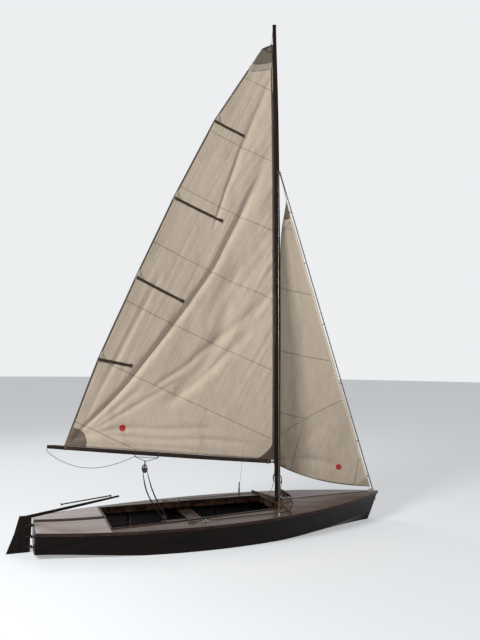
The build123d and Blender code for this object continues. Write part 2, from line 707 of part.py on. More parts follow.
main_rows = []
for height, angle, chord, belly in MAIN_SECTIONS:
    luff = Vector(mast_face(height, MAIN_GAP), 0, height)
    leech = luff + Vector(-cos(radians(angle)), 0, sin(radians(angle))) * chord
    main_rows.append((luff, leech, belly))
main_sheet = sail_sheet(main_rows)
foot_luff = boom_point(-BOOM_AXIS_GAP, BOOM_HEIGHT / 2 + 0.6)
foot_out = boom_point((hinge_x - CLEW[0]) / cos(rise), BOOM_HEIGHT / 2 + 0.6)
with BuildPart() as main_outline:
    with BuildSketch(Plane.XZ):
        with BuildLine():
            leech = ThreePointArc(HEADBOARD_OUT, LEECH_MIDDLE, foot_out)
            Polyline(leech @ 1, foot_luff, (foot_luff[0] + 60, foot_luff[1]),
                     (mast_face(MAIN_HEAD_Z) + 60, MAIN_HEAD_Z),
                     (mast_face(MAIN_HEAD_Z, MAIN_GAP), MAIN_HEAD_Z), leech @ 0)
        make_face()
    extrude(amount=500, both=True)
nodes["mainsail"] = common(main_sheet, main_outline.part)


def on_near_side(area):
    """A skin of the mainsail's form that lies against its starboard side."""
    return common(main_sheet.moved(Location((0, -CLOTH - 0.3, 0))), area)


batten_pieces = []
for out_x, out_z, in_x, in_z in BATTENS:
    length = hypot(in_x - out_x, in_z - out_z)
    tilt = degrees(atan2(in_z - out_z, in_x - out_x))
    with BuildPart() as batten_area:
        with BuildSketch(Plane.XZ):
            with Locations(Location(((out_x + in_x) / 2, (out_z + in_z) / 2), tilt)):
                RectangleRounded(length, BATTEN_WIDTH, 8)
        extrude(amount=500, both=True)
    batten_pieces.append(on_near_side(batten_area.part))
nodes["battens"] = joined(*batten_pieces)
with BuildPart() as headboard_area:
    with BuildSketch(Plane.XZ):
        with BuildLine():
            luff_top = (mast_face(MAIN_HEAD_Z - 8, MAIN_GAP + 4), MAIN_HEAD_Z - 8)
            board_foot = MAIN_HEAD_Z - HEADBOARD_LUFF
            luff_foot = (mast_face(board_foot, MAIN_GAP + 4), board_foot)
            Polyline(luff_top, luff_foot, (HEADBOARD_OUT[0] + 8, HEADBOARD_OUT[1] - 22),
                     (HEADBOARD_OUT[0] + 12, HEADBOARD_OUT[1] - 2), close=True)
        make_face()
        offset(amount=-HEADBOARD_RIM, kind=Kind.INTERSECTION, mode=Mode.SUBTRACT)
    extrude(amount=500, both=True)
nodes["headboard"] = on_near_side(headboard_area.part)

# Forestay, shrouds and their fittings.
hounds_x = mast_face(HOUNDS_Z)
hounds_long, hounds_wide = HOUNDS_MAST
hounds_centre = hounds_x + hounds_long / 2
with BuildPart() as hounds:
    with BuildSketch(rig_plane(HOUNDS_Z - 30)):
        with Locations((hounds_long / 2, 0)):
            Ellipse(hounds_long / 2 + 4, hounds_wide / 2 + 4)
    extrude(amount=60)
    with Locations((hounds_x + hounds_long + 10, 0, HOUNDS_Z)):
        Box(34, 5, 26)
    for side in (1, -1):
        with Locations((hounds_centre, side * (hounds_wide / 2 + 10), HOUNDS_Z - 6)):
            Box(22, 26, 5)
    add(nodes["mast"], mode=Mode.SUBTRACT)
    add(block(hounds_x - 60, hounds_x + HOUNDS_OPEN, -half_rig, half_rig, 5000, 5400), mode=Mode.SUBTRACT)
stay_top = (hounds_x + hounds_long + 20, 0, HOUNDS_Z - 13)
shroud_y = hounds_wide / 2 + 18
stay_foot = (STAY_FOOT[0], 0, STAY_FOOT[1])
nodes["forestay"] = rod(stay_foot, stay_top, STAY_RADIUS)


def sheer_at(x):
    """Half-breadth and height of the sheer, from the two nearest sections."""
    for first, second in zip(SECTIONS, SECTIONS[1:]):
        if first[0] <= x <= second[0]:
            share = (x - first[0]) / (second[0] - first[0])
            bulge = 4 * share * (1 - share) * 26
            breadth = first[5] + share * (second[5] - first[5]) + bulge
            return breadth, first[6] + share * (second[6] - first[6])


chain_y, chain_z = sheer_at(CHAINPLATE_X)
chain_y -= CHAINPLATE_INBOARD
with BuildPart() as plate:
    add(common(less(raised(hull, 3), hull), block(CHAINPLATE_X - 34, CHAINPLATE_X + 34, chain_y - 13,
                                                  chain_y + 13)))
    with Locations((CHAINPLATE_X, chain_y, chain_z + CHAINPLATE_RISE / 2)):
        Box(24, 5, CHAINPLATE_RISE + 6)
    add(hull, mode=Mode.SUBTRACT)
nodes["chainplates"] = on_both_sides(plate.part)
chain_top = chain_z + CHAINPLATE_RISE + 3
for name, side in [("port", 1), ("starboard", -1)]:
    nodes["shroud_" + name] = rod((CHAINPLATE_X, side * chain_y, chain_top),
                                  (hounds_centre, side * shroud_y, HOUNDS_Z - 8.5), SHROUD_RADIUS)

# Stem fitting with the stay's eye, and the bow eye on the stem's face.
deck_strap = common(less(raised(hull, 4), hull), block(FORE - 175, FORE - 8, -16, 16))
with BuildPart() as stem_fitting:
    add(deck_strap)
    with BuildSketch(Plane.XZ):
        with BuildLine():
            Polyline((FORE - 165, 400), (FORE - 165, 440), (STAY_FOOT[0] - 8, STAY_FOOT[1]),
                     (STAY_FOOT[0] + 8, STAY_FOOT[1]), (FORE - 30, 400), close=True)
        make_face()
    extrude(amount=2.5, both=True)
    add(hull, mode=Mode.SUBTRACT)
nodes["stem_fitting"] = stem_fitting.part
eye_x = STEM_AT_WATER + BOW_EYE_Z * tan(radians(STEM_RAKE)) + EYE_OUT
with BuildPart() as bow_eye:
    with BuildSketch(Plane.XZ):
        with Locations((eye_x, BOW_EYE_Z)):
            Circle(EYE_RADIUS)
        with Locations((eye_x - 12, BOW_EYE_Z)):
            Rectangle(24, 2 * EYE_RADIUS)
        with Locations((eye_x, BOW_EYE_Z)):
            Circle(EYE_HOLE, mode=Mode.SUBTRACT)
    extrude(amount=EYE_PLATE / 2, both=True)
    add(nodes["stem"], mode=Mode.SUBTRACT)
nodes["bow_eye"] = bow_eye.part

# Jib, set flying to port of the mast, and the hanks that carry it on the stay.
stay_slope = (stay_top[0] - stay_foot[0]) / (stay_top[2] - stay_foot[2])


def stay_x(height):
    """X of the forestay at a height."""
    return stay_foot[0] + (height - stay_foot[2]) * stay_slope


jib_sheet = sail_sheet([(Vector(stay_x(height) - JIB_STAY_GAP, 0, height), Vector(x, y, z), belly)
                        for height, x, y, z, belly in JIB_SECTIONS])
tack_x = stay_x(JIB_TACK_Z) - JIB_STAY_GAP
head_x = stay_x(JIB_HEAD_Z) - JIB_STAY_GAP
with BuildPart() as jib_outline:
    with BuildSketch(Plane.XZ):
        with BuildLine():
            foot = ThreePointArc((tack_x - 40, JIB_TACK_Z), JIB_FOOT_MIDDLE, JIB_CLEW)
            Polyline(foot @ 1, (head_x - 40, JIB_HEAD_Z), (head_x + 80, JIB_HEAD_Z),
                     (tack_x + 80, JIB_TACK_Z), foot @ 0)
        make_face()
    extrude(amount=600, both=True)
nodes["jib"] = common(jib_sheet, jib_outline.part)
hanks = []
for height in HANK_HEIGHTS:
    x = stay_x(height)
    along = Vector(stay_slope, 0, 1)
    with BuildPart() as hank:
        with BuildSketch(Plane(origin=(x, 0, height), x_dir=(1, 0, -stay_slope), z_dir=along)):
            Circle(8)
            with Locations((-JIB_STAY_GAP / 2 - 1, 0)):
                Rectangle(JIB_STAY_GAP + 10, 5)
            Circle(STAY_RADIUS + 0.3, mode=Mode.SUBTRACT)
        extrude(amount=14)
        add(nodes["jib"], mode=Mode.SUBTRACT)
    hanks.append(hank.part)
nodes["jib_hanks"] = joined(*hanks)

# Masthead sheave cap, and the halyard cleats on the mast's sides.
with BuildPart() as masthead:
    top = rig_plane(MAST_TOP_Z - 1)
    with BuildSketch(top):
        with Locations((MAST_SIZES[-1][1] / 2, 0)):
            Ellipse(MAST_SIZES[-1][1] / 2 + 3, MAST_SIZES[-1][2] / 2 + 3)
    extrude(amount=8)
    add(nodes["mast"], mode=Mode.SUBTRACT)
nodes["mast_fittings"] = joined(gooseneck.part, hounds.part, masthead.part)
cleat_x = mast_face(CLEAT_Z) + MAST_SIZES[1][1] / 2
with BuildPart() as cleat:
    with Locations((cleat_x, 38, CLEAT_Z)):
        Box(16, 26, 44)
    with BuildSketch(Plane.XY.offset(CLEAT_Z - 62)):
        with Locations((cleat_x, 54)):
            Ellipse(8, 6)
    extrude(amount=124)
    add(nodes["mast"], mode=Mode.SUBTRACT)
nodes["mast_cleats"] = on_both_sides(cleat.part)

# Sheet leads on the side decks.
with BuildPart() as lead:
    add(common(less(raised(hull, 5), hull), block(LEAD_X - 42, LEAD_X + 42, LEAD_Y - 15, LEAD_Y + 15)))
    with BuildSketch(Plane.YZ.offset(LEAD_X - 8)):
        with Locations((LEAD_Y, LEAD_Z)):
            Circle(LEAD_HOLE + 7)
            Circle(LEAD_HOLE, mode=Mode.SUBTRACT)
    extrude(amount=16)
    add(hull, mode=Mode.SUBTRACT)
nodes["sheet_leads"] = on_both_sides(lead.part)

# Rudder: blade, cheeks round its head, pintles, and the gudgeons on the transom.
tiller_rise = atan2(TILLER_TIP[1] - TILLER_ROOT[1], TILLER_TIP[0] - TILLER_ROOT[0])


def tiller_point(x, above=0.0):
    """Height of the tiller's middle line at x, plus a height above it."""
    return TILLER_ROOT[1] + (x - TILLER_ROOT[0]) * tan(tiller_rise) + above


seat = -TILLER_HEIGHT / 2 - 1
with BuildPart() as blade:
    with BuildSketch(Plane.XZ):
        with BuildLine():
            toe = ThreePointArc(RUDDER_HEEL, ((RUDDER_HEEL[0] + RUDDER_TOE[0]) / 2 - 8, RUDDER_TOE[1] - 12),
                                RUDDER_TOE)
            tail = ThreePointArc(toe @ 1, RUDDER_BELLY, RUDDER_WATER)
            Polyline(tail @ 1, (CHEEK_AFT[0] + 4, tiller_point(CHEEK_AFT[0], seat)),
                     (RUDDER_EDGE_X, tiller_point(RUDDER_EDGE_X, seat)), (RUDDER_EDGE_X, -60), toe @ 0)
        make_face()
    extrude(amount=RUDDER_THICKNESS / 2, both=True)
nodes["rudder_blade"] = blade.part
cheek_front = RUDDER_EDGE_X + 8
trail = (RUDDER_WATER[0] - CHEEK_AFT[0]) / (RUDDER_WATER[1] - CHEEK_AFT[1])
cheek_outline = [(cheek_front, CHEEK_LOW), (cheek_front, CHEEK_TOP), CHEEK_AFT,
                 (CHEEK_AFT[0] + (CHEEK_LOW - CHEEK_AFT[1]) * trail + 14, CHEEK_LOW)]
cheek_pair = side_profile(cheek_outline, RUDDER_THICKNESS / 2 + CHEEK)
cheek_gap = side_profile([(x + dx, z + dz) for (x, z), dx, dz in
                          zip(cheek_outline, (60, 60, -60, -60), (-60, 60, 60, -60))], RUDDER_THICKNESS / 2)
nodes["rudder_cheeks"] = less(cheek_pair, cheek_gap)
pintles = []
gudgeons = []
for height in HINGE_HEIGHTS:
    with BuildPart() as pintle:
        with BuildSketch(Plane.XY.offset(height - 16)):
            with Locations((RUDDER_AXIS_X, 0)):
                Circle(HINGE_PIN)
        extrude(amount=GUDGEON_HEIGHT + 24)
        with BuildSketch(Plane.XY.offset(height + GUDGEON_HEIGHT / 2 + 1)):
            with Locations((RUDDER_AXIS_X, 0)):
                Circle(GUDGEON_RADIUS - 1)
            half = RUDDER_THICKNESS / 2 + STRAP + (CHEEK if height > CHEEK_LOW else 0)
            with Locations((RUDDER_AXIS_X - STRAP_LENGTH / 2, 0)):
                Rectangle(STRAP_LENGTH, 2 * half)
            with Locations(((RUDDER_EDGE_X + RUDDER_AXIS_X) / 2 + 2, 0)):
                Rectangle(18, 14)
        extrude(amount=14)
        add(nodes["rudder_blade"], mode=Mode.SUBTRACT)
        add(nodes["rudder_cheeks"], mode=Mode.SUBTRACT)
    pintles.append(pintle.part)
    with BuildPart() as gudgeon:
        with BuildSketch(Plane.XY.offset(height - GUDGEON_HEIGHT / 2)):
            with Locations((RUDDER_AXIS_X, 0)):
                Circle(GUDGEON_RADIUS)
            with Locations(((RUDDER_AXIS_X + AFT) / 2, 0)):
                Rectangle(AFT - RUDDER_AXIS_X, 12)
            with Locations((RUDDER_AXIS_X, 0)):
                Circle(HINGE_PIN + RUNNING_FIT, mode=Mode.SUBTRACT)
        extrude(amount=GUDGEON_HEIGHT)
        with Locations((AFT - 2, 0, height)):
            Box(4, 70, 30)
    gudgeons.append(gudgeon.part)
nodes["pintles"] = joined(*pintles)
nodes["gudgeons"] = joined(*gudgeons)

# Tiller, tapered from the cheeks to its grip, and the extension folded along it.
with BuildPart() as tiller:
    for x, height, width in [(TILLER_ROOT[0], TILLER_HEIGHT, RUDDER_THICKNESS - 0.4),
                             (AFT - 10, TILLER_HEIGHT, RUDDER_THICKNESS - 0.4),
                             ((AFT + TILLER_TIP[0]) / 2, 33, 27),
                             (TILLER_TIP[0], TILLER_TIP_SIZE, TILLER_TIP_SIZE)]:
        along_tiller = (cos(tiller_rise), 0, sin(tiller_rise))
        with BuildSketch(Plane(origin=(x, 0, tiller_point(x)), x_dir=(0, 1, 0), z_dir=along_tiller)):
            RectangleRounded(width, height, 8)
    loft(ruled=True)
nodes["tiller"] = tiller.part
pivot = EXTENSION_PIVOT
with BuildPart() as extension:
    add(rod((pivot[0] + 10, 0, pivot[1] + 4), (EXTENSION_END[0], 0, EXTENSION_END[1] + 8), EXTENSION_RADIUS))
    add(rod((EXTENSION_END[0], -34, EXTENSION_END[1] + 8), (EXTENSION_END[0], 34, EXTENSION_END[1] + 8), 9))
    add(rod((pivot[0], 0, pivot[1] - 30), (pivot[0], 0, pivot[1] + 14), 5))
    add(nodes["tiller"], mode=Mode.SUBTRACT)
nodes["tiller_extension"] = extension.part

os.makedirs("parts", exist_ok=True)
for name, piece in nodes.items():
    piece.label = name
    export_step(piece, "parts/" + name + ".step")
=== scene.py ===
"""Looks of a wooden sailing dinghy: varnish, cloth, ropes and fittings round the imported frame.

Metres. X runs forward, Y to port and Z up, from amidships at the waterline. Places along the
boat are given forward from the transom, and AFT moves them into the frame.
"""

from __future__ import annotations

import json
import logging
import math
from dataclasses import dataclass, field, replace
from enum import Enum
from typing import Callable, Sequence

import bmesh
import bpy
from mathutils import Matrix, Vector, noise
from mathutils.bvhtree import BVHTree

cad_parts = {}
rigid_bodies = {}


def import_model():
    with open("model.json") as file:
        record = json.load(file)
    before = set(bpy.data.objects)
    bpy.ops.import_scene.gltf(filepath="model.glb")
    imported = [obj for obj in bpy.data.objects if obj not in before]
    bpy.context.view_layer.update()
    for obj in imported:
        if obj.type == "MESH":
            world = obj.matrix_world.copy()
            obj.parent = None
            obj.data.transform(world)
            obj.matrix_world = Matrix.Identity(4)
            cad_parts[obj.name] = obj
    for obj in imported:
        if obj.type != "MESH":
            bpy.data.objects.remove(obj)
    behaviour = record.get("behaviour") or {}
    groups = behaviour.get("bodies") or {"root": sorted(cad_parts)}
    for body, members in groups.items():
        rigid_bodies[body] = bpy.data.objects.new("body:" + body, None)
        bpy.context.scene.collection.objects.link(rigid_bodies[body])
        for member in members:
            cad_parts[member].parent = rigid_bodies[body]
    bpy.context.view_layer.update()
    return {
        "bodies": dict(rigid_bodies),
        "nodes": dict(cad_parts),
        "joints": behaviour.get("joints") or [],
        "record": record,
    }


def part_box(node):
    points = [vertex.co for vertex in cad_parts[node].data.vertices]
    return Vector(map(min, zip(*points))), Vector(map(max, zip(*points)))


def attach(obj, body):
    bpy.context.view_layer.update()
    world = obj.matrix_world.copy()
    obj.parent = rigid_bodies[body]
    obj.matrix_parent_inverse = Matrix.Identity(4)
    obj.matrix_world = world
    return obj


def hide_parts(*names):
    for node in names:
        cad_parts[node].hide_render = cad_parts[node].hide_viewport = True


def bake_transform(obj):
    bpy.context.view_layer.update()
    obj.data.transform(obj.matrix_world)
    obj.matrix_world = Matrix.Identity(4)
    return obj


LOG = logging.getLogger("dinghy")
AFT = -2.5
Colour = tuple[float, float, float]
# A place is x and z on a sail, and a spot is x, y and z.
Place = tuple[float, float]
Spot = tuple[float, float, float]
Socket = bpy.types.NodeSocket
Piece = bpy.types.Object
BMesh = bmesh.types.BMesh


def seen(red: int, green: int, blue: int) -> Colour:
    """A colour as it looks on a screen, made linear.

    Args:
        red: Red from 0 to 255.
        green: Green from 0 to 255.
        blue: Blue from 0 to 255.

    Returns:
        The three linear parts.
    """
    return tuple((part / 255) ** 2.2 for part in (red, green, blue))


def mixed(start: Sequence[float], end: Sequence[float], share: float) -> tuple[float, ...]:
    """The place that lies a share of the way from one place to another.

    Args:
        start: Where the way begins.
        end: Where it ends.
        share: Share of the way, from 0 to 1.

    Returns:
        The place between them.
    """
    return tuple(a + (b - a) * share for a, b in zip(start, end))


def on_bow(start: Place, middle: Place, end: Place, share: float) -> Place:
    """A place on the smooth bow through three places.

    Args:
        start: Where the bow begins.
        middle: The place half way along.
        end: Where the bow ends.
        share: Share of the way, from 0 to 1.

    Returns:
        The place on the bow.
    """
    chord = mixed(start, end, share)
    bulge = 4 * share * (1 - share)
    return tuple(c + bulge * (m - (a + b) / 2) for c, m, a, b in zip(chord, middle, start, end))


def on_corners(corners: Sequence[Place], height: float) -> Place:
    """The place at a height on an edge that runs straight from corner to corner.

    Args:
        corners: The edge's corners, x and z, from the lowest up.
        height: The place's height.

    Returns:
        The place.
    """
    spans = list(zip(corners, corners[1:]))
    low, high = next((span for span in spans if height <= span[1][1]), spans[-1])
    return low[0] + (high[0] - low[0]) * (height - low[1]) / (high[1] - low[1]), height


def step_up(low: float, high: float, value: float) -> float:
    """Smooth step from 0 to 1.

    Args:
        low: Value where the step begins.
        high: Value where it ends.
        value: The value.

    Returns:
        The step's height.
    """
    share = max(0.0, min(1.0, (value - low) / (high - low)))
    return share * share * (3 - 2 * share)


class Grain(Enum):
    """Which way a timber's grain runs, as the turn that brings it onto X."""

    ALONG = (0.0, 0.0, 0.0)
    ACROSS = (0.0, 0.0, math.pi / 2)
    UPRIGHT = (0.0, math.pi / 2, 0.0)
    RAKED = (0.0, 0.0, math.radians(12))
    SLOPED = (0.0, math.radians(20), 0.0)


class Side(Enum):
    """Side of the boat, as the sign of Y."""

    PORT = 1
    STARBOARD = -1


class Graph:
    """Places and joins the nodes of one node tree."""

    def __init__(self, tree: bpy.types.NodeTree) -> None:
        """Keeps the tree that the nodes go into."""
        self.tree = tree

    def add(self, kind: str, inputs: dict | None = None, **settings: object) -> bpy.types.Node:
        """Adds a node.

        Args:
            kind: The node's type.
            inputs: Values or sockets by the input's name or number.
            **settings: The node's own properties.

        Returns:
            The node.
        """
        node = self.tree.nodes.new(kind)
        for key, value in settings.items():
            setattr(node, key, value)
        for key, value in (inputs or {}).items():
            if isinstance(value, Socket):
                self.tree.links.new(value, node.inputs[key])
            else:
                node.inputs[key].default_value = value
        return node

    def math(self, operation: str, first: Socket | float, second: Socket | float = 0.0) -> Socket:
        """One sum of two values or sockets, and its result."""
        return self.add("ShaderNodeMath", {0: first, 1: second}, operation=operation).outputs[0]

    def mix(self, share: Socket | float, first: Socket | Colour, second: Socket | Colour) -> Socket:
        """Colour between two colours or sockets, by a share."""
        first, second = (end if isinstance(end, Socket) else (*end, 1) for end in (first, second))
        return self.add("ShaderNodeMix", {0: share, 6: first, 7: second},
                        data_type="RGBA").outputs[2]

    def spread(self, value: Socket, low: float, high: float, to_low: float = 0.0,
               to_high: float = 1.0) -> Socket:
        """A value brought from one range to another and held inside it."""
        values = {"Value": value, "From Min": low, "From Max": high, "To Min": to_low,
                  "To Max": to_high}
        return self.add("ShaderNodeMapRange", values).outputs[0]

    def noise(self, vector: Socket, scale: Socket | float, detail: float = 3.0,
              twist: float = 0.0) -> Socket:
        """Cloudy pattern on a vector."""
        values = {"Vector": vector, "Scale": scale, "Detail": detail, "Distortion": twist}
        return self.add("ShaderNodeTexNoise", values).outputs[0]

    def turned(self, vector: Socket, turn: Spot = (0, 0, 0), stretch: Spot = (1, 1, 1)) -> Socket:
        """A vector turned and stretched by a Mapping node."""
        values = {"Vector": vector, "Rotation": turn, "Scale": stretch}
        return self.add("ShaderNodeMapping", values).outputs[0]

    def effect(self, group: bpy.types.NodeTree, vector: Socket,
               **values: float) -> bpy.types.NodeOutputs:
        """Places a shared effect on a vector, with its own values, and gives its outputs."""
        return self.add("ShaderNodeGroup", {"Vector": vector, **values}, node_tree=group).outputs

    def seen_directly(self) -> Socket:
        """1 where the camera, a reflection or a clear piece looks at the surface, and 0 as light.

        Returns:
            The socket.
        """
        path = self.add("ShaderNodeLightPath").outputs
        through = self.math("MAXIMUM", path["Is Glossy Ray"], path["Is Transmission Ray"])
        return self.math("MAXIMUM", path["Is Camera Ray"], through)


class GroupMaker:
    """Builds each shared effect once and hands it to the materials."""

    def __init__(self) -> None:
        """Builds the grain, weathering, weave and rope groups."""
        self.grain = self.build_grain()
        self.weather = self.build_weather()
        self.weave = self.build_weave()
        self.lay = self.build_lay()

    @staticmethod
    def open_group(name: str, inputs: dict[str, str],
                   outputs: Sequence[str]) -> tuple[Graph, dict[str, Socket], bpy.types.Node]:
        """Starts a node group.

        Args:
            name: The group's name.
            inputs: Socket types by name.
            outputs: Names of the value outputs.

        Returns:
            The graph, its input sockets by name, and the output node.
        """
        tree = bpy.data.node_groups.new(name, "ShaderNodeTree")
        for label, kind in inputs.items():
            tree.interface.new_socket(label, in_out="INPUT", socket_type=kind)
        for label in outputs:
            tree.interface.new_socket(label, in_out="OUTPUT", socket_type="NodeSocketFloat")
        start = tree.nodes.new("NodeGroupInput")
        end = tree.nodes.new("NodeGroupOutput")
        return Graph(tree), {label: start.outputs[label] for label in inputs}, end

    def build_grain(self) -> bpy.types.NodeTree:
        """Timber figure and fibres along X, where Scale is how many bands cross a metre.

        Returns:
            The group.
        """
        graph, given, end = self.open_group(
            "wood_grain", {"Vector": "NodeSocketVector", "Scale": "NodeSocketFloat"},
            ("Figure", "Fibre"))
        long_way = graph.turned(given["Vector"], stretch=(0.09, 1, 1))
        bands = graph.add("ShaderNodeTexWave", {
            "Vector": long_way, "Scale": given["Scale"], "Distortion": 7.0, "Detail": 3.0,
            "Detail Scale": 0.7}, bands_direction="DIAGONAL").outputs["Fac"]
        streaks = graph.noise(graph.turned(given["Vector"], stretch=(0.05, 1, 1)),
                              graph.math("MULTIPLY", given["Scale"], 3.0), 5.0)
        figure = graph.math("ADD", graph.math("MULTIPLY", bands, 0.45),
                            graph.math("MULTIPLY", streaks, 0.6))
        fibre = graph.noise(graph.turned(given["Vector"], stretch=(0.02, 1, 1)), 260.0, 2.0)
        graph.tree.links.new(figure, end.inputs["Figure"])
        graph.tree.links.new(fibre, end.inputs["Fibre"])
        return graph.tree

    def build_weather(self) -> bpy.types.NodeTree:
        """Soft stains over the surface, and wear on its edges.

        Returns:
            The group.
        """
        graph, given, end = self.open_group(
            "weathering", {"Vector": "NodeSocketVector", "Amount": "NodeSocketFloat"},
            ("Stain", "Edge"))
        clouds = graph.noise(given["Vector"], 1.7, 5.0, 0.6)
        spots = graph.noise(given["Vector"], 9.0, 4.0, 0.3)
        stain = graph.spread(graph.math("MULTIPLY", clouds, spots), 0.2, 0.42)
        sharp = graph.add("ShaderNodeNewGeometry").outputs["Pointiness"]
        edge = graph.math("MULTIPLY", graph.spread(sharp, 0.505, 0.56),
                          graph.spread(spots, 0.42, 0.6))
        for label, value in (("Stain", stain), ("Edge", edge)):
            graph.tree.links.new(graph.math("MULTIPLY", value, given["Amount"]), end.inputs[label])
        return graph.tree

    def build_weave(self) -> bpy.types.NodeTree:
        """Plain weave, slubs and crinkles in the plane of X and Z. Scale is threads to the metre.

        Returns:
            The group.
        """
        graph, given, end = self.open_group(
            "cloth_weave", {"Vector": "NodeSocketVector", "Scale": "NodeSocketFloat"},
            ("Height", "Slub", "Crinkle"))
        leaned = graph.turned(given["Vector"], (0, math.radians(25), 0))
        warp, weft = [graph.add("ShaderNodeTexWave", {"Vector": leaned, "Scale": given["Scale"]},
                                bands_direction=way).outputs["Fac"] for way in ("X", "Z")]
        slub = graph.noise(graph.turned(leaned, stretch=(0.15, 1, 1)), 55.0, 3.0)
        graph.tree.links.new(graph.math("MULTIPLY", warp, weft), end.inputs["Height"])
        graph.tree.links.new(slub, end.inputs["Slub"])
        raked = graph.turned(given["Vector"], (0, math.radians(-25), 0))
        crinkle = graph.noise(graph.turned(raked, stretch=(24, 1, 0.9)), 1.0, 3.0, 0.4)
        graph.tree.links.new(crinkle, end.inputs["Crinkle"])
        return graph.tree

    def build_lay(self) -> bpy.types.NodeTree:
        """Strands that wind round a rope, on its own UV map: V round it, U along it.

        Returns:
            The group.
        """
        graph, given, end = self.open_group(
            "rope_lay", {"Vector": "NodeSocketVector", "Turns": "NodeSocketFloat"},
            ("Strand", "Fuzz"))
        parts = graph.add("ShaderNodeSeparateXYZ", {"Vector": given["Vector"]})
        along = graph.math("MULTIPLY", parts.outputs["X"], given["Turns"])
        winding = graph.math("ADD", graph.math("MULTIPLY", parts.outputs["Y"], 3.0), along)
        wave = graph.math("SINE", graph.math("MULTIPLY", winding, math.pi))
        graph.tree.links.new(graph.math("ABSOLUTE", wave), end.inputs["Strand"])
        graph.tree.links.new(graph.noise(given["Vector"], 90.0, 2.0), end.inputs["Fuzz"])
        return graph.tree


def open_material(name: str) -> tuple[bpy.types.Material, Graph, Socket]:
    """Starts a material.

    Args:
        name: The material's name.

    Returns:
        The material, its graph without a shader, and the object coordinates.
    """
    material = bpy.data.materials.new(name)
    material.use_nodes = True
    material.node_tree.nodes.clear()
    graph = Graph(material.node_tree)
    return material, graph, graph.add("ShaderNodeTexCoord").outputs["Object"]


def close_material(graph: Graph, inputs: dict, height: Socket | None = None, relief: float = 0.0,
                   depth: float = 0.001) -> None:
    """Adds the shader and the output.

    Args:
        graph: The material's graph.
        inputs: The shader's inputs.
        height: Socket that raises the surface, or None.
        relief: Strength of the bump.
        depth: Full height of the bump in metres.
    """
    if height is not None:
        values = {"Height": height, "Strength": relief, "Distance": depth}
        bump = graph.add("ShaderNodeBump", values)
        inputs = {**inputs, "Normal": bump.outputs[0]}
    shader = graph.add("ShaderNodeBsdfPrincipled", inputs)
    graph.add("ShaderNodeOutputMaterial", {"Surface": shader.outputs[0]})


@dataclass(frozen=True)
class Varnish:
    """Varnished timber or plywood.

    Bands is how many figures of the grain cross a metre, and way is how they run. Each relief is a
    bump's strength, and each depth its full height in metres, here and in the other finishes.
    """

    name: str
    dark: Colour
    light: Colour
    bands: float = 7.0
    way: Grain = Grain.ALONG
    coat: float = 0.7
    coat_roughness: float = 0.12
    rough: tuple[float, float] = (0.35, 0.5)
    worn: Colour = seen(104, 78, 62)
    wear: float = 0.2
    shine: float = 0.4
    stain_share: float = 0.55
    stain_level: float = 0.45
    pore_relief: float = 0.12
    pore_depth: float = 0.0006

    def build(self, groups: GroupMaker) -> bpy.types.Material:
        """Makes the material, with grain, stains and worn edges.

        Args:
            groups: The shared effects.

        Returns:
            The material.
        """
        material, graph, place = open_material(self.name)
        grain = graph.effect(groups.grain, graph.turned(place, self.way.value), Scale=self.bands)
        weather = graph.effect(groups.weather, place, Amount=self.wear)
        timber = graph.mix(graph.spread(grain["Figure"], 0.25, 0.8), self.dark, self.light)
        pores = graph.spread(grain["Fibre"], 0.32, 0.5, 0.72, 1.0)
        shaded = graph.add("ShaderNodeMix", {0: 1.0, 6: timber, 7: pores}, data_type="RGBA",
                           blend_type="MULTIPLY").outputs[2]
        stained = graph.mix(graph.math("MULTIPLY", weather["Stain"], self.stain_share), shaded,
                            tuple(part * self.stain_level for part in self.dark))
        colour = graph.mix(weather["Edge"], stained, self.worn)
        gloss = graph.spread(weather["Stain"], 0.0, 0.6, *self.rough)
        looks = {"Base Color": colour, "Roughness": gloss, "Specular IOR Level": self.shine,
                 "Coat Weight": self.coat, "Coat Roughness": self.coat_roughness}
        close_material(graph, looks, grain["Fibre"], self.pore_relief, self.pore_depth)
        return material


@dataclass(frozen=True)
class Cloth:
    """Woven sailcloth."""

    name: str
    fresh: Colour
    aged: Colour
    threads: float = 230.0
    stains: float = 0.8
    crinkle_relief: float = 0.8
    crinkle_depth: float = 0.008

    def build(self, groups: GroupMaker) -> bpy.types.Material:
        """Makes the material, with weave, slubs, crinkles and a little ageing.

        Args:
            groups: The shared effects.

        Returns:
            The material.
        """
        material, graph, place = open_material(self.name)
        weave = graph.effect(groups.weave, place, Scale=self.threads)
        weather = graph.effect(groups.weather, graph.turned(place, stretch=(1, 1, 0.35)),
                               Amount=self.stains)
        slub = graph.math("MULTIPLY", graph.spread(weave["Slub"], 0.35, 0.75), 0.25)
        age = graph.math("ADD", graph.math("MULTIPLY", weather["Stain"], 0.6), slub)
        colour = graph.mix(age, self.fresh, self.aged)
        relief = graph.math("ADD", weave["Crinkle"], graph.math("MULTIPLY", weave["Height"], 0.05))
        looks = {"Base Color": colour, "Roughness": 0.85, "Specular IOR Level": 0.2,
                 "Sheen Weight": 0.15, "Sheen Roughness": 0.5}
        close_material(graph, looks, relief, self.crinkle_relief, self.crinkle_depth)
        return material


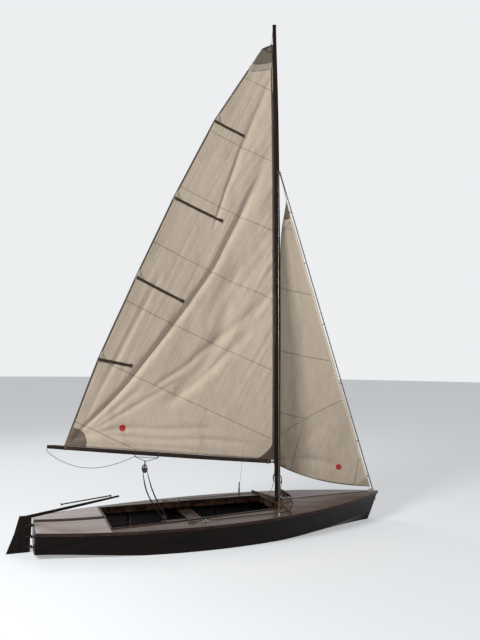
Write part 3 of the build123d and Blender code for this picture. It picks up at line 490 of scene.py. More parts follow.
@dataclass(frozen=True)
class Metal:
    """Rolled or cast metal, dulled by weather."""

    name: str
    bright: Colour
    dull: Colour
    rough: tuple[float, float] = (0.25, 0.5)
    scratch_relief: float = 0.08
    scratch_depth: float = 0.0003

    def build(self, groups: GroupMaker) -> bpy.types.Material:
        """Makes the material, with dull patches and fine scratches.

        Args:
            groups: The shared effects.

        Returns:
            The material.
        """
        material, graph, place = open_material(self.name)
        weather = graph.effect(groups.weather, graph.turned(place, stretch=(8, 8, 8)), Amount=1.0)
        scratches = graph.noise(graph.turned(place, stretch=(40, 40, 900)), 3.0, 2.0)
        colour = graph.mix(weather["Stain"], self.bright, self.dull)
        rough = graph.spread(weather["Stain"], 0.0, 1.0, *self.rough)
        looks = {"Base Color": colour, "Metallic": 1.0, "Roughness": rough}
        close_material(graph, looks, scratches, self.scratch_relief, self.scratch_depth)
        return material


@dataclass(frozen=True)
class Moulded:
    """Moulded block cheeks, paint, the stay's strands and other plain solid finishes; the stay's
    pale and dark strands are painted highlight and painted shade.
    """

    name: str
    base: Colour
    scuffed: Colour
    rough: tuple[float, float] = (0.4, 0.6)
    stain_share: float = 0.3
    skin_relief: float = 0.1
    skin_depth: float = 0.0003

    def build(self, groups: GroupMaker) -> bpy.types.Material:
        """Makes the material, with scuffs on its edges and a pebbled skin.

        Args:
            groups: The shared effects.

        Returns:
            The material.
        """
        material, graph, place = open_material(self.name)
        weather = graph.effect(groups.weather, graph.turned(place, stretch=(6, 6, 6)), Amount=1.0)
        scuff = graph.math("MAXIMUM", weather["Edge"],
                           graph.math("MULTIPLY", weather["Stain"], self.stain_share))
        colour = graph.mix(scuff, self.base, self.scuffed)
        rough = graph.spread(weather["Stain"], 0.0, 1.0, *self.rough)
        pebbles = graph.noise(place, 900.0, 2.0)
        close_material(graph, {"Base Color": colour, "Roughness": rough}, pebbles,
                       self.skin_relief, self.skin_depth)
        return material


@dataclass(frozen=True)
class Line:
    """Laid rope, coloured strand by strand, with painted shade in the grooves between strands."""

    name: str
    crown: Colour
    # The groove colour is the crown's colour darkened as painted shade between the strands.
    groove_shade: Colour
    turns: float = 90.0
    rough: float = 0.9
    strand_relief: float = 0.5
    strand_depth: float = 0.0012

    def build(self, groups: GroupMaker) -> bpy.types.Material:
        """Makes the material, with strands on the piece's own UV map and painted shade in their
        grooves.

        Args:
            groups: The shared effects.

        Returns:
            The material.
        """
        material, graph, _ = open_material(self.name)
        route = graph.add("ShaderNodeTexCoord").outputs["UV"]
        lay = graph.effect(groups.lay, route, Turns=self.turns)
        strand = graph.spread(lay["Strand"], 0.1, 0.6)
        fuzz = graph.math("MULTIPLY", graph.spread(lay["Fuzz"], 0.3, 0.7), 0.3)
        # The colour darkens from each strand's crown into the groove as painted shade.
        colour = graph.mix(graph.math("SUBTRACT", strand, fuzz), self.groove_shade, self.crown)
        looks = {"Base Color": colour, "Roughness": self.rough, "Specular IOR Level": 0.15}
        close_material(graph, looks, strand, self.strand_relief, self.strand_depth)
        return material


FINISHES = (
    Varnish("hull_varnish", seen(16, 11, 10), seen(29, 20, 17), 5.0, coat=0.05, coat_roughness=0.3,
            worn=seen(44, 32, 26), shine=0.08),
    Varnish("rail_varnish", seen(32, 20, 17), seen(52, 33, 27), 9.0, coat=0.08,
            worn=seen(80, 56, 44), shine=0.15),
    # The afterdeck is paler than the other decks partly as its own varnish and partly as painted
    # reflection of a bright sky.
    Varnish("afterdeck_varnish", seen(104, 87, 79), seen(124, 106, 97), 2.0, coat=0.45,
            coat_roughness=0.16, worn=seen(136, 118, 106)),
    Varnish("side_deck_varnish", seen(62, 49, 43), seen(82, 66, 59), 2.5, coat=0.08,
            coat_roughness=0.22, worn=seen(104, 86, 76), shine=0.15),
    Varnish("fore_deck_varnish", seen(58, 41, 32), seen(82, 60, 47), 2.5, Grain.RAKED, 0.08, 0.22,
            worn=seen(104, 80, 64), shine=0.15),
    # This dark, dull varnish is partly painted shade: the band of shadow along the afterdeck's
    # middle, laid on the kingplank; the mast collar shares it.
    Varnish("kingplank_varnish", seen(32, 22, 20), seen(46, 33, 29), 4.0, coat=0.0,
            rough=(0.6, 0.75), shine=0.05),
    Varnish("coaming_varnish", seen(24, 16, 14), seen(40, 27, 23), 7.0, coat=0.06, shine=0.12),
    Varnish("cockpit_varnish", seen(30, 20, 17), seen(48, 34, 29), 6.0, coat=0.08,
            rough=(0.45, 0.65), shine=0.2),
    Varnish("floor_timber", seen(52, 41, 35), seen(84, 68, 57), 11.0, coat=0.1, rough=(0.55, 0.75),
            worn=seen(112, 92, 76), wear=0.6),
    Varnish("breakwater_timber", seen(66, 47, 36), seen(90, 66, 50), 9.0, Grain.ACROSS, 0.05,
            shine=0.15),
    Varnish("mast_varnish", seen(26, 18, 15), seen(44, 32, 27), 14.0, Grain.UPRIGHT, 0.0, 0.4,
            (0.7, 0.85), seen(58, 43, 36), shine=0.06),
    Varnish("boom_varnish", seen(29, 20, 17), seen(48, 33, 28), 14.0, coat=0.06, coat_roughness=0.3,
            shine=0.15),
    Varnish("rudder_varnish", seen(15, 11, 10), seen(28, 20, 17), 9.0, Grain.UPRIGHT, 0.05, 0.3,
            worn=seen(44, 32, 26), shine=0.1),
    Varnish("batten_timber", seen(42, 32, 27), seen(62, 48, 40), 16.0, Grain.SLOPED, 0.0,
            shine=0.2),
    Cloth("sailcloth_plain", seen(183, 168, 150), seen(155, 142, 126)),
    # Doubled, head, corner and seam cloth are darker than the plain cloth as painted shade: the
    # shade that light through a sail leaves where layers lie on each other.
    Cloth("sailcloth_doubled_shade", seen(158, 146, 130), seen(136, 125, 111)),
    Cloth("sailcloth_head", seen(106, 96, 85), seen(88, 80, 71)),
    Cloth("sailcloth_corner_shade", seen(110, 98, 84), seen(88, 78, 68)),
    Cloth("sailcloth_seam_shade", seen(146, 134, 119), seen(124, 113, 100)),
    # The tape is dark partly as its own cloth and partly as painted shade: the shadow band along
    # the mainsail's luff beside the mast.
    Cloth("sailcloth_tape_and_shade", seen(84, 75, 66), seen(64, 57, 50)),
    Cloth("luff_tape", seen(204, 191, 172), seen(176, 163, 146)),
    Metal("fitting_steel", seen(168, 165, 158), seen(104, 100, 95)),
    Metal("fitting_dark", seen(66, 61, 57), seen(38, 35, 33), (0.45, 0.7)),
    Metal("bronze", seen(132, 104, 70), seen(72, 58, 43)),
    Moulded("headboard_dark", seen(50, 45, 41), seen(74, 67, 60), (0.55, 0.75)),
    Moulded("block_black", seen(26, 23, 22), seen(56, 51, 47)),
    Moulded("mark_red", seen(166, 34, 31), seen(142, 40, 35), (0.7, 0.85)),
    # The pale and the dark strand paint the highlight and the shade that run along a twisted stay.
    Moulded("stay_strand_painted_highlight", seen(148, 137, 122), seen(112, 103, 92), (0.5, 0.7)),
    Moulded("stay_strand_painted_shade", seen(28, 25, 23), seen(46, 41, 37), (0.5, 0.7)),
    Line("brown_rope", seen(122, 94, 70), seen(62, 47, 36)),
    Line("grey_rope", seen(112, 103, 92), seen(58, 52, 46)),
    Line("dark_rope", seen(68, 55, 46), seen(32, 27, 24)),
)

# Which finish each node of the frame takes.
NODE_FINISH = {
    "hull_varnish": ("bottom_port", "bottom_starboard", "side_port", "side_starboard", "transom",
                     "stem", "keel"),
    "rail_varnish": ("rub_rail_port", "rub_rail_starboard", "foredeck_ridge"),
    "afterdeck_varnish": ("afterdeck_port", "afterdeck_starboard"),
    "side_deck_varnish": ("side_deck_port", "side_deck_starboard"),
    "fore_deck_varnish": ("foredeck_port", "foredeck_starboard"),
    "kingplank_varnish": ("afterdeck_kingplank", "mast_collar"),
    "coaming_varnish": ("coaming", "thwart"),
    "cockpit_varnish": ("aft_bulkhead", "fore_bulkhead", "frames", "mast_step", "centreboard_case",
                        "centreboard"),
    "floor_timber": ("floorboards",),
    "breakwater_timber": ("breakwater",),
    "mast_varnish": ("mast",),
    "boom_varnish": ("boom",),
    "rudder_varnish": ("rudder_blade", "rudder_cheeks", "tiller", "tiller_extension"),
    "fitting_steel": ("chainplates", "stem_fitting", "bow_eye", "shroud_port", "shroud_starboard",
                      "sheet_leads"),
    "fitting_dark": ("mast_fittings", "gudgeons", "pintles"),
    "bronze": ("jib_hanks",),
    "block_black": ("lower_block", "upper_block", "mast_cleats", "boom_fittings"),
    "batten_timber": ("battens",),
    "headboard_dark": ("headboard",),
    "sailcloth_plain": ("mainsail", "jib"),
    "stay_strand_painted_highlight": ("forestay",),
}


@dataclass
class Workshop:
    """The frame, the finishes, and the common steps of making a piece."""

    frame: dict
    finishes: dict[str, bpy.types.Material] = field(default_factory=dict)

    def mix_finishes(self) -> None:
        """Builds every finish and dresses the frame's nodes."""
        groups = GroupMaker()
        self.finishes = {finish.name: finish.build(groups) for finish in FINISHES}
        for finish, names in NODE_FINISH.items():
            for name in names:
                mesh = self.frame["nodes"][name].data
                mesh.materials.clear()
                mesh.materials.append(self.finishes[finish])

    def surface(self, *names: str) -> BVHTree:
        """A tree of the faces of some of the frame's nodes, for finding where they lie.

        Args:
            *names: The nodes.

        Returns:
            The tree, in the frame's own places.
        """
        points, faces = [], []
        for name in names:
            mesh = self.frame["nodes"][name].data
            first = len(points)
            points.extend(vertex.co for vertex in mesh.vertices)
            faces.extend([first + index for index in face.vertices] for face in mesh.polygons)
        return BVHTree.FromPolygons(points, faces)

    def finished(self, name: str, made: BMesh, finishes: Sequence[str], body: str, slot: str,
                 thickness: float = 0.0, smooth: bool = True) -> Piece:
        """Turns a mesh under work into a piece that rides on a body.

        Args:
            name: The piece's name.
            made: The mesh, which is freed.
            finishes: Names of its finishes, in the order of the faces' material numbers.
            body: The body it rides on.
            slot: The record's material slot; not used.
            thickness: Thickness given to an open sheet, or 0.
            smooth: Whether its faces are shaded smooth.

        Returns:
            The piece.
        """
        mesh = bpy.data.meshes.new(name)
        made.to_mesh(mesh)
        made.free()
        piece = bpy.data.objects.new(name, mesh)
        bpy.context.scene.collection.objects.link(piece)
        for finish in finishes:
            mesh.materials.append(self.finishes[finish])
        if smooth:
            mesh.shade_smooth()
        if thickness:
            skin = piece.modifiers.new("thickness", "SOLIDIFY")
            skin.thickness = thickness
            skin.offset = 0.0
        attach(piece, body)
        LOG.info("made %s with %d faces", name, len(mesh.polygons))
        return piece


def raise_sheet(made: BMesh, way: Spot) -> None:
    """Makes a flat sheet solid.

    Args:
        made: The sheet.
        way: How far and which way its second face stands off.
    """
    raised = bmesh.ops.extrude_face_region(made, geom=made.faces[:])["geom"]
    verts = [item for item in raised if isinstance(item, bmesh.types.BMVert)]
    bmesh.ops.translate(made, verts=verts, vec=way)
    bmesh.ops.recalc_face_normals(made, faces=made.faces[:])


@dataclass(frozen=True)
class Crease:
    """A fold in a sail, along a run of places, with its width and its depth to port.

    It starts at the narrow share of its width and widens along its run. A soft fold has a rounded
    crest in place of one that leans, and at edge times its reach it has faded out.
    """

    run: tuple[Place, ...]
    width: float
    depth: float
    soft: float = 0.0
    narrow: float = 0.55
    widening: float = 0.9
    lean: float = 0.9
    edge: float = 3.0

    def eased(self) -> Crease:
        """The same fold with its run's corners cut twice, so that it bends smoothly.

        Returns:
            The eased fold.
        """
        run = self.run
        for _ in range(2):
            cut = [place for start, end in zip(run, run[1:])
                   for place in (mixed(start, end, 0.25), mixed(start, end, 0.75))]
            run = (run[0], *cut, run[-1])
        return replace(self, run=run)

    def depth_at(self, x: float, z: float) -> float:
        """How far the fold pushes a place to port.

        Args:
            x: Forward of the transom.
            z: Height.

        Returns:
            The push in metres.
        """
        near = self.edge * (self.narrow + self.widening) * self.width
        if not self.run[0][0] - near < x < self.run[-1][0] + near:
            return 0.0
        best, share_at, signed = math.inf, 0.0, 0.0
        spans = len(self.run) - 1
        for index, (start, end) in enumerate(zip(self.run, self.run[1:])):
            dx, dz = end[0] - start[0], end[1] - start[1]
            length = math.hypot(dx, dz)
            share = max(0.0, min(1.0, ((x - start[0]) * dx + (z - start[1]) * dz) / length ** 2))
            off = math.hypot(x - start[0] - dx * share, z - start[1] - dz * share)
            if off < best:
                side = (x - start[0]) * dz - (z - start[1]) * dx
                best, share_at, signed = off, (index + share) / spans, math.copysign(off, side)
        reach = self.width * (self.narrow + self.widening * share_at)
        if best > self.edge * reach:
            return 0.0
        ends = step_up(0.0, 0.18, share_at) * (1 - step_up(0.7, 1.0, share_at))
        across = signed / reach
        lean = (1 - self.soft) * self.lean * math.tanh(2 * across)
        return self.depth * ends * math.exp(-across * across) * (1 + lean)


@dataclass(frozen=True)
class Seam:
    """A sewn overlap of two cloths between two places."""

    start: Place
    end: Place
    half_width: float = 0.007
    overrun: float = 0.02


@dataclass(frozen=True)
class Patch:
    """Doubled cloth between a short edge at a corner and a bowed edge inside the sail."""

    name: str
    corner_start: Place
    corner_end: Place
    bow: tuple[Place, Place, Place]
    # The default finish is the doubled cloth, darker as painted shade of the layers.
    finish: str = "sailcloth_doubled_shade"
    lift: float = 0.0022

    def place(self, across: float, inward: float) -> Place:
        """A place on the patch, from shares of the way across and inward."""
        return mixed(mixed(self.corner_start, self.corner_end, across), on_bow(*self.bow, across),
                     inward)


class SailForm:
    """The form of one sail: the frame's own sheet, with the folds of real cloth added."""

    half_cloth: float = 0.0015
    calming: float = 0.25

    def __init__(self, shop: Workshop, node: str, creases: Sequence[Crease], ripple: Callable,
                 calm: float) -> None:
        """Reads the frame's sheet.

        Args:
            shop: The workshop.
            node: The frame's sail.
            creases: The folds.
            ripple: Gives a small extra push to port at a place.
            calm: Height above which the cloth lies flat.
        """
        self.tree = shop.surface(node)
        self.creases = [crease.eased() for crease in creases]
        self.ripple = ripple
        self.calm = calm

    def side(self, x: float, z: float) -> float:
        """How far the smooth sheet lies to port at a place.

        Args:
            x: Forward of the transom.
            z: Height.

        Returns:
            The sheet's y, on the middle of the cloth.
        """
        hit = self.tree.ray_cast(Vector((x + AFT, -2.0, z)), Vector((0, 1, 0)))[0]
        if hit is None:
            hit = self.tree.find_nearest(Vector((x + AFT, 0.05, z)))[0]
        return hit.y + self.half_cloth

    def push(self, x: float, z: float) -> float:
        """How far all the folds push a place to port."""
        folds = sum(crease.depth_at(x, z) for crease in self.creases) + self.ripple(x, z)
        return folds * (1 - step_up(self.calm - self.calming, self.calm, z))

    def sheet(self, place: Callable[[float, float], Place], cells: tuple[int, int],
              lift: float = 0.0, seams: Sequence[Seam] = (), smoothing: int = 0) -> BMesh:
        """Lays a grid of cloth on the form.

        Args:
            place: Gives x and z from shares along and up the sheet.
            cells: Faces along and up.
            lift: How far to port of the form the sheet lies.
            seams: Sewn overlaps, which become faces of the second material.
            smoothing: Rounds that even out the frame's own facets.

        Returns:
            The sheet.
        """
        made = bmesh.new()
        bmesh.ops.create_grid(made, x_segments=cells[0], y_segments=cells[1], size=0.5)
        for vertex in made.verts:
            x, z = place(vertex.co.x + 0.5, vertex.co.y + 0.5)
            vertex.co = (x, 0.0, z)
        for seam in seams:
            self.mark_seam(made, seam)
        for vertex in made.verts:
            vertex.co.y = self.side(vertex.co.x, vertex.co.z)
        for _ in range(smoothing):
            inner = [vertex for vertex in made.verts if not vertex.is_boundary]
            bmesh.ops.smooth_vert(made, verts=inner, factor=0.5, use_axis_y=True)
        for vertex in made.verts:
            vertex.co.y += self.push(vertex.co.x, vertex.co.z) + lift
            vertex.co.x += AFT
        return made

    @staticmethod
    def mark_seam(made: BMesh, seam: Seam) -> None:
        """Cuts a flat sheet along both edges of a seam and gives the strip its own finish.

        Args:
            made: The sheet, before it is laid on the form.
            seam: The seam.
        """
        start = Vector((seam.start[0], 0, seam.start[1]))
        along = Vector((seam.end[0] - seam.start[0], 0, seam.end[1] - seam.start[1]))
        length = along.length
        along.normalize()
        across = Vector((-along.z, 0, along.x))
        for offset in (-seam.half_width, seam.half_width):
            bmesh.ops.bisect_plane(made, geom=made.verts[:] + made.edges[:] + made.faces[:],
                                   plane_co=start + across * offset, plane_no=across, dist=1e-5)
        for face in made.faces:
            away = face.calc_center_median() - start
            on_strip = abs(away.dot(across)) < seam.half_width
            if on_strip and -seam.overrun < away.dot(along) < length + seam.overrun:
                face.material_index = 1


@dataclass
class Sail:
    """Common sizes and steps of the two sails."""

    shop: Workshop
    form: SailForm | None = None
    body: str = "hull"
    cloth: float = 0.0014
    patch_cloth: float = 0.0008
    patch_cells: tuple[int, int] = (14, 18)
    tape_cloth: float = 0.0034
    mark_cloth: float = 0.0006
    mark_cells: tuple[int, int] = (5, 24)
    mark_lift: float = 0.0046
    mark_radius: float = 0.042
    smoothing: int = 12

    def sew(self, name: str, made: BMesh, thickness: float, *finishes: str) -> Piece:
        """Finishes a sheet of cloth that rides with the sail."""
        return self.shop.finished(name, made, finishes, self.body, "sailcloth", thickness)

    def add_patches(self, patches: Sequence[Patch]) -> list[Piece]:
        """Sews each patch on both sides of the cloth.

        Args:
            patches: The patches.

        Returns:
            The pieces.
        """
        pieces = []
        for patch in patches:
            for side in Side:
                made = self.form.sheet(patch.place, self.patch_cells, side.value * patch.lift)
                pieces.append(self.sew(f"{patch.name}_{side.name.lower()}", made, self.patch_cloth,
                                       patch.finish))
        return pieces

    def add_edge(self, name: str, edge: Callable[[float], Place], inner: Callable[[float], Place],
                 cells: int, finish: str = "sailcloth_tape_and_shade") -> Piece:
        """Folds a tape over one edge of the cloth.

        Args:
            name: The piece's name.
            edge: Place on the sail's edge by share.
            inner: Place on the tape's inner edge by share.
            cells: Faces along it.
            finish: Its finish.

        Returns:
            The tape.
        """
        def place(across: float, along: float) -> Place:
            """Place between the two edges."""
            return mixed(edge(along), inner(along), across)

        made = self.form.sheet(place, (2, cells))
        return self.sew(name, made, self.tape_cloth, finish)

    def add_marks(self, name: str, centre: Place) -> list[Piece]:
        """Sews a plain round mark on each side.

        Args:
            name: The pieces' name.
            centre: The marks' middle.

        Returns:
            The pieces.
        """
        def place(across: float, along: float) -> Place:
            """Place on the disc, by shares of its radius and of the way round.

            Args:
                across: Share of the radius.
                along: Share of the way round.

            Returns:
                The place.
            """
            turn = 2 * math.pi * along
            reach = self.mark_radius * max(across, 0.02)
            return centre[0] + reach * math.cos(turn), centre[1] + reach * math.sin(turn)

        pieces = []
        for side in Side:
            made = self.form.sheet(place, self.mark_cells, side.value * self.mark_lift)
            bmesh.ops.remove_doubles(made, verts=made.verts[:], dist=0.0002)
            pieces.append(self.sew(f"{name}_{side.name.lower()}", made, self.mark_cloth,
                                   "mark_red"))
        return pieces


@dataclass
class Mainsail(Sail):
    """The mainsail with its battens, headboard, patches and edges."""

    body: str = "boom"
    cells: tuple[int, int] = (130, 270)
    calm: float = 6.97
    tack: Place = (3.257, 0.958)
    head: Place = (3.168, 7.123)
    clew: Place = (0.332, 1.276)
    # The leech runs straight between the clew, the outer ends of the battens and the headboard.
    leech: tuple[Place, ...] = (clew, (0.724, 2.380), (1.195, 3.499), (1.698, 4.647),
                                (2.280, 5.835), (3.009, 7.037))
    # How far each tape's inner edge lies from the sail's own, along x and z.
    leech_tape: Place = (0.020, -0.008)
    luff_tape: Place = (-0.034, 0.0)
    foot_tape: Place = (0.003, 0.034)
    mark_at: Place = (1.075, 1.472)
    mast_bow: float = 0.024
    boom_height: float = 0.932
    mast_height: float = 6.486
    seams: tuple[Seam, ...] = (
        Seam((2.740, 6.560), (3.180, 6.410)), Seam((2.212, 5.685), (3.195, 5.340)),
        Seam((1.777, 4.818), (3.212, 4.297)), Seam((1.400, 4.010), (3.226, 3.281)),
        Seam((1.060, 3.180), (3.240, 2.236)), Seam((0.700, 2.400), (3.254, 1.241)),
        Seam((0.430, 1.590), (1.233, 1.196)),
    )
    creases: tuple[Crease, ...] = (
        Crease(((0.40, 1.34), (0.516, 1.459), (0.781, 1.711), (1.036, 1.971), (1.232, 2.204),
                (1.464, 2.511), (1.703, 2.826), (1.930, 3.131), (2.127, 3.423), (2.327, 3.733),
                (2.493, 4.079), (2.643, 4.386), (2.809, 4.746), (2.942, 5.017), (3.031, 5.265),
                (3.10, 5.55)), 0.062, 0.040),
        Crease(((2.28, 4.20), (2.433, 4.705), (2.559, 5.077), (2.688, 5.476), (2.80, 5.75),
                (2.92, 6.05), (3.066, 6.40), (3.13, 6.65)), 0.055, 0.018),
        Crease(((0.42, 1.33), (0.58, 1.441), (0.816, 1.613), (1.106, 1.838), (1.40, 2.09)), 0.034,
               0.010),
        Crease(((1.60, 1.72), (1.828, 1.931), (2.147, 2.242), (2.438, 2.67), (2.49, 2.994),
                (2.55, 3.32), (2.653, 3.653), (2.786, 3.956), (2.95, 4.35)), 0.16, 0.046, 0.75),
        Crease(((1.40, 1.93), (1.647, 2.12), (1.857, 2.241), (1.999, 2.346), (2.179, 2.523),
                (2.437, 2.706), (2.74, 2.966), (3.051, 3.272), (3.22, 3.50)), 0.070, 0.022, 0.3),
        Crease(((1.75, 1.80), (1.935, 1.948), (2.15, 2.103), (2.368, 2.314), (2.592, 2.53),
                (2.82, 2.751), (3.054, 3.014), (3.20, 3.20)), 0.070, 0.020, 0.3),
        Crease(((0.50, 1.38), (0.754, 1.5), (1.077, 1.672), (1.41, 1.867), (1.684, 2.018),
                (1.95, 2.18)), 0.040, 0.012),
        Crease(((0.44, 1.36), (0.629, 1.407), (0.917, 1.479), (1.249, 1.486), (1.661, 1.451),
                (2.161, 1.46), (2.60, 1.47)), 0.045, 0.012),
        Crease(((0.80, 1.42), (1.084, 1.375), (1.594, 1.308), (2.163, 1.305), (2.686, 1.251),
                (3.05, 1.18)), 0.040, 0.010),
        Crease(((2.22, 2.80), (2.283, 2.986), (2.355, 3.167), (2.503, 3.426), (2.654, 3.617),
                (2.78, 3.80)), 0.080, 0.012, 0.8),
        Crease(((2.30, 2.22), (2.442, 2.386), (2.667, 2.675), (2.896, 3.008), (3.15, 3.40)), 0.070,
               0.013, 0.5),
        Crease(((2.75, 3.42), (2.888, 3.631), (3.045, 3.864), (3.18, 4.06)), 0.065, 0.012, 0.5),
        Crease(((0.46, 1.30), (0.599, 1.29), (1.255, 1.235), (1.95, 1.165), (2.50, 1.10)), 0.035,
               0.009),
        Crease(((0.52, 1.50), (0.80, 2.05), (1.20, 2.90), (1.60, 3.70)), 0.05, 0.008),
    )
    patches: tuple[Patch, ...] = (
        Patch("main_head_patch", (3.010, 7.036), (3.166, 7.119),
              ((2.862, 6.775), (3.02, 6.80), (3.172, 6.857)), "sailcloth_head", 0.0036),
        Patch("main_head_under_patch", (3.011, 7.030), (3.166, 7.060),
              ((2.795, 6.662), (2.99, 6.69), (3.173, 6.757))),
        Patch("main_clew_patch", (0.342, 1.279), (0.342, 1.279),
              ((0.430, 1.502), (0.575, 1.420), (0.600, 1.249)), "sailcloth_corner_shade", 0.0040),
        Patch("main_tack_patch", (3.255, 0.962), (3.255, 0.962),
              ((3.252, 1.235), (3.150, 1.090), (2.985, 0.990)), "sailcloth_tape_and_shade", 0.0034),
    )
    # Columns: outer x, outer z, inner x, inner z.
    battens: tuple[tuple[float, ...], ...] = (
        (2.290, 5.828, 2.761, 5.672), (1.715, 4.640, 2.454, 4.383),
        (1.212, 3.492, 1.912, 3.195), (0.735, 2.378, 1.197, 2.292),
    )
    bolt_rope: float = 0.0034
    batten_half: float = 0.019
    batten_stop: float = 0.005
    batten_thickness: float = 0.004
    batten_lift: float = -0.0046
    batten_cells: tuple[int, int] = (40, 3)
    pocket_margin: float = 0.010
    pocket_cloth: float = 0.0010
    pocket_lift: float = 0.0024
    pocket_cells: tuple[int, int] = (40, 4)
    corner_lift: float = -0.0022
    corner_cells: tuple[int, int] = (6, 6)
    headboard_corners: tuple[Place, ...] = (
        (3.160, 7.118), (3.164, 6.985), (3.012, 7.026), (3.020, 7.040),
    )
    headboard_rim: float = 0.019
    headboard_edge: float = 0.0012
    # Heights of the small puckers.
    luff_pucker: float = 0.0150
    luff_streak: float = 0.0034
    clew_fan: float = 0.007
    upright_pucker: float = 0.006
    foot_pucker: float = 0.007
    leech_flutter: float = 0.010

    def leech_at(self, share: float) -> Place:
        """Place on the leech, from the clew up."""
        return on_corners(self.leech, self.clew[1] + share * (self.leech[-1][1] - self.clew[1]))

    def luff_at(self, share: float) -> Place:
        """Place on the luff, from the tack up, bowed as the mast is.

        Args:
            share: Share of the way up.

        Returns:
            The place.
        """
        x, z = mixed(self.tack, self.head, share)
        height = max(0.0, (z - self.boom_height) / self.mast_height)
        return x + 4 * self.mast_bow * height * (1 - height), z

    def foot_at(self, share: float) -> Place:
        """Place on the foot, from the tack aft."""
        return mixed(self.tack, self.clew, share)

    def place(self, across: float, up: float) -> Place:
        """Place on the whole sail, from the luff to the leech and from the foot up."""
        return mixed(self.luff_at(up), self.leech_at(up), across)

    def luff_ripple(self, x: float, z: float) -> float:
        """Puckers that lean away from the luff, and fine streaks above them.

        Args:
            x: Forward of the transom.
            z: Height.

        Returns:
            The push to port in metres.
        """
        luff_x = self.luff_at((z - self.tack[1]) / (self.head[1] - self.tack[1]))[0]
        from_luff = max(0.0, luff_x - x)
        lean = math.radians(58)
        along = x * math.cos(lean) + z * math.sin(lean)
        across = z * math.cos(lean) - x * math.sin(lean)
        puckers = noise.noise(Vector((along * 0.9, across * 15.0, 3.1)))
        luff = self.luff_pucker * puckers * math.exp(-from_luff / 0.50)
        luff *= step_up(0.0, 0.05, from_luff)
        luff *= 0.35 + 0.65 * step_up(1.3, 1.9, z) * (1 - step_up(5.2, 6.2, z))
        streaks = noise.noise(Vector(((x - 0.47 * z) * 12.0, z * 0.35, 2.7)))
        return luff + self.luff_streak * streaks * step_up(1.5, 2.4, z)

    def ripple(self, x: float, z: float) -> float:
        """Small puckers: along the luff, fanned from the clew, upright, and along leech and foot.

        Args:
            x: Forward of the transom.
            z: Height.

        Returns:
            The push to port in metres.
        """
        dx, dz = x - self.clew[0], z - self.clew[1]
        reach, turn = math.hypot(dx, dz), math.atan2(dz, dx)
        fan = self.clew_fan * noise.noise(Vector((turn * 12, reach * 0.25, 7.7)))
        fan *= step_up(0.1, 0.6, reach) * math.exp(-reach / 2.2)
        upright = self.upright_pucker * noise.noise(Vector(((x - 0.42 * z) * 5.0, z * 0.28, 1.9)))
        upright *= step_up(1.6, 2.6, z)
        above = max(0.0, dz + 0.11 * dx)
        foot = self.foot_pucker * noise.noise(Vector((x * 0.8, above * 15, 5.2)))
        foot *= math.exp(-above / 0.22)
        from_leech = max(0.0, x - on_corners(self.leech, z)[0])
        flutter = self.leech_flutter * noise.noise(Vector((z * 2.6, 0.3, 8.8)))
        flutter *= math.exp(-from_leech / 0.16)
        return (self.luff_ripple(x, z) + fan + upright + foot + flutter) * step_up(0.0, 0.04, above)

    def build(self) -> None:
        """Makes the sail and all that is sewn to it."""
        self.form = SailForm(self.shop, "mainsail", self.creases, self.ripple, self.calm)
        made = self.form.sheet(self.place, self.cells, seams=self.seams, smoothing=self.smoothing)
        sail = self.sew("mainsail_cloth", made, self.cloth, "sailcloth_plain", "sailcloth_seam_shade")
        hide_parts("mainsail")
        sewn = self.add_patches(self.patches)
        sewn.append(self.add_edge("main_leech_tape", self.leech_at, self.leech_inside,
                                  self.cells[1]))
        sewn.append(self.add_edge("main_luff_tape", self.luff_at, self.luff_inside, self.cells[1]))
        sewn.append(self.add_edge("main_foot_tape", self.foot_at, self.foot_inside, self.cells[0],
                                  "sailcloth_doubled_shade"))
        sewn.append(self.add_bolt_rope())
        sewn.extend(self.add_marks("main_mark", self.mark_at))
        sewn.extend(self.add_pockets())
        self.build_battens()
        self.build_headboard()

    def leech_inside(self, share: float) -> Place:
        """Inner edge of the leech tape."""
        x, z = self.leech_at(share)
        return x + self.leech_tape[0], z + self.leech_tape[1]

    def luff_inside(self, share: float) -> Place:
        """Inner edge of the luff tape."""
        x, z = self.luff_at(share)
        return x + self.luff_tape[0], z + self.luff_tape[1]

    def foot_inside(self, share: float) -> Place:
        """Upper edge of the foot tape."""
        x, z = self.foot_at(share)
        return x + self.foot_tape[0], z + self.foot_tape[1]

    def add_bolt_rope(self) -> Piece:
        """Sews the rope that stiffens the luff, next to the mast.

        Returns:
            The rope.
        """
        route = []
        for number in range(25):
            x, z = self.luff_at(number / 24)
            route.append((x + self.bolt_rope / 2, self.form.side(x - 0.004, z), z))
        return Rope("main_bolt_rope", self.bolt_rope, "dark_rope", self.body).rig(self.shop, route)

    def batten_place(self, batten: Sequence[float], half: float, share: float,
                     across: float) -> Place:
        """Place on a strip along a batten.

        Args:
            batten: The batten's row.
            half: Half the strip's width.
            share: Share of its length, from the leech.
            across: Share of its width.

        Returns:
            The place.
        """
        x, z, in_x, in_z = batten
        dx, dz = in_x - x, in_z - z
        side = (across * 2 - 1) * half / math.hypot(dx, dz)
        return x + dx * share - dz * side, z + dz * share + dx * side

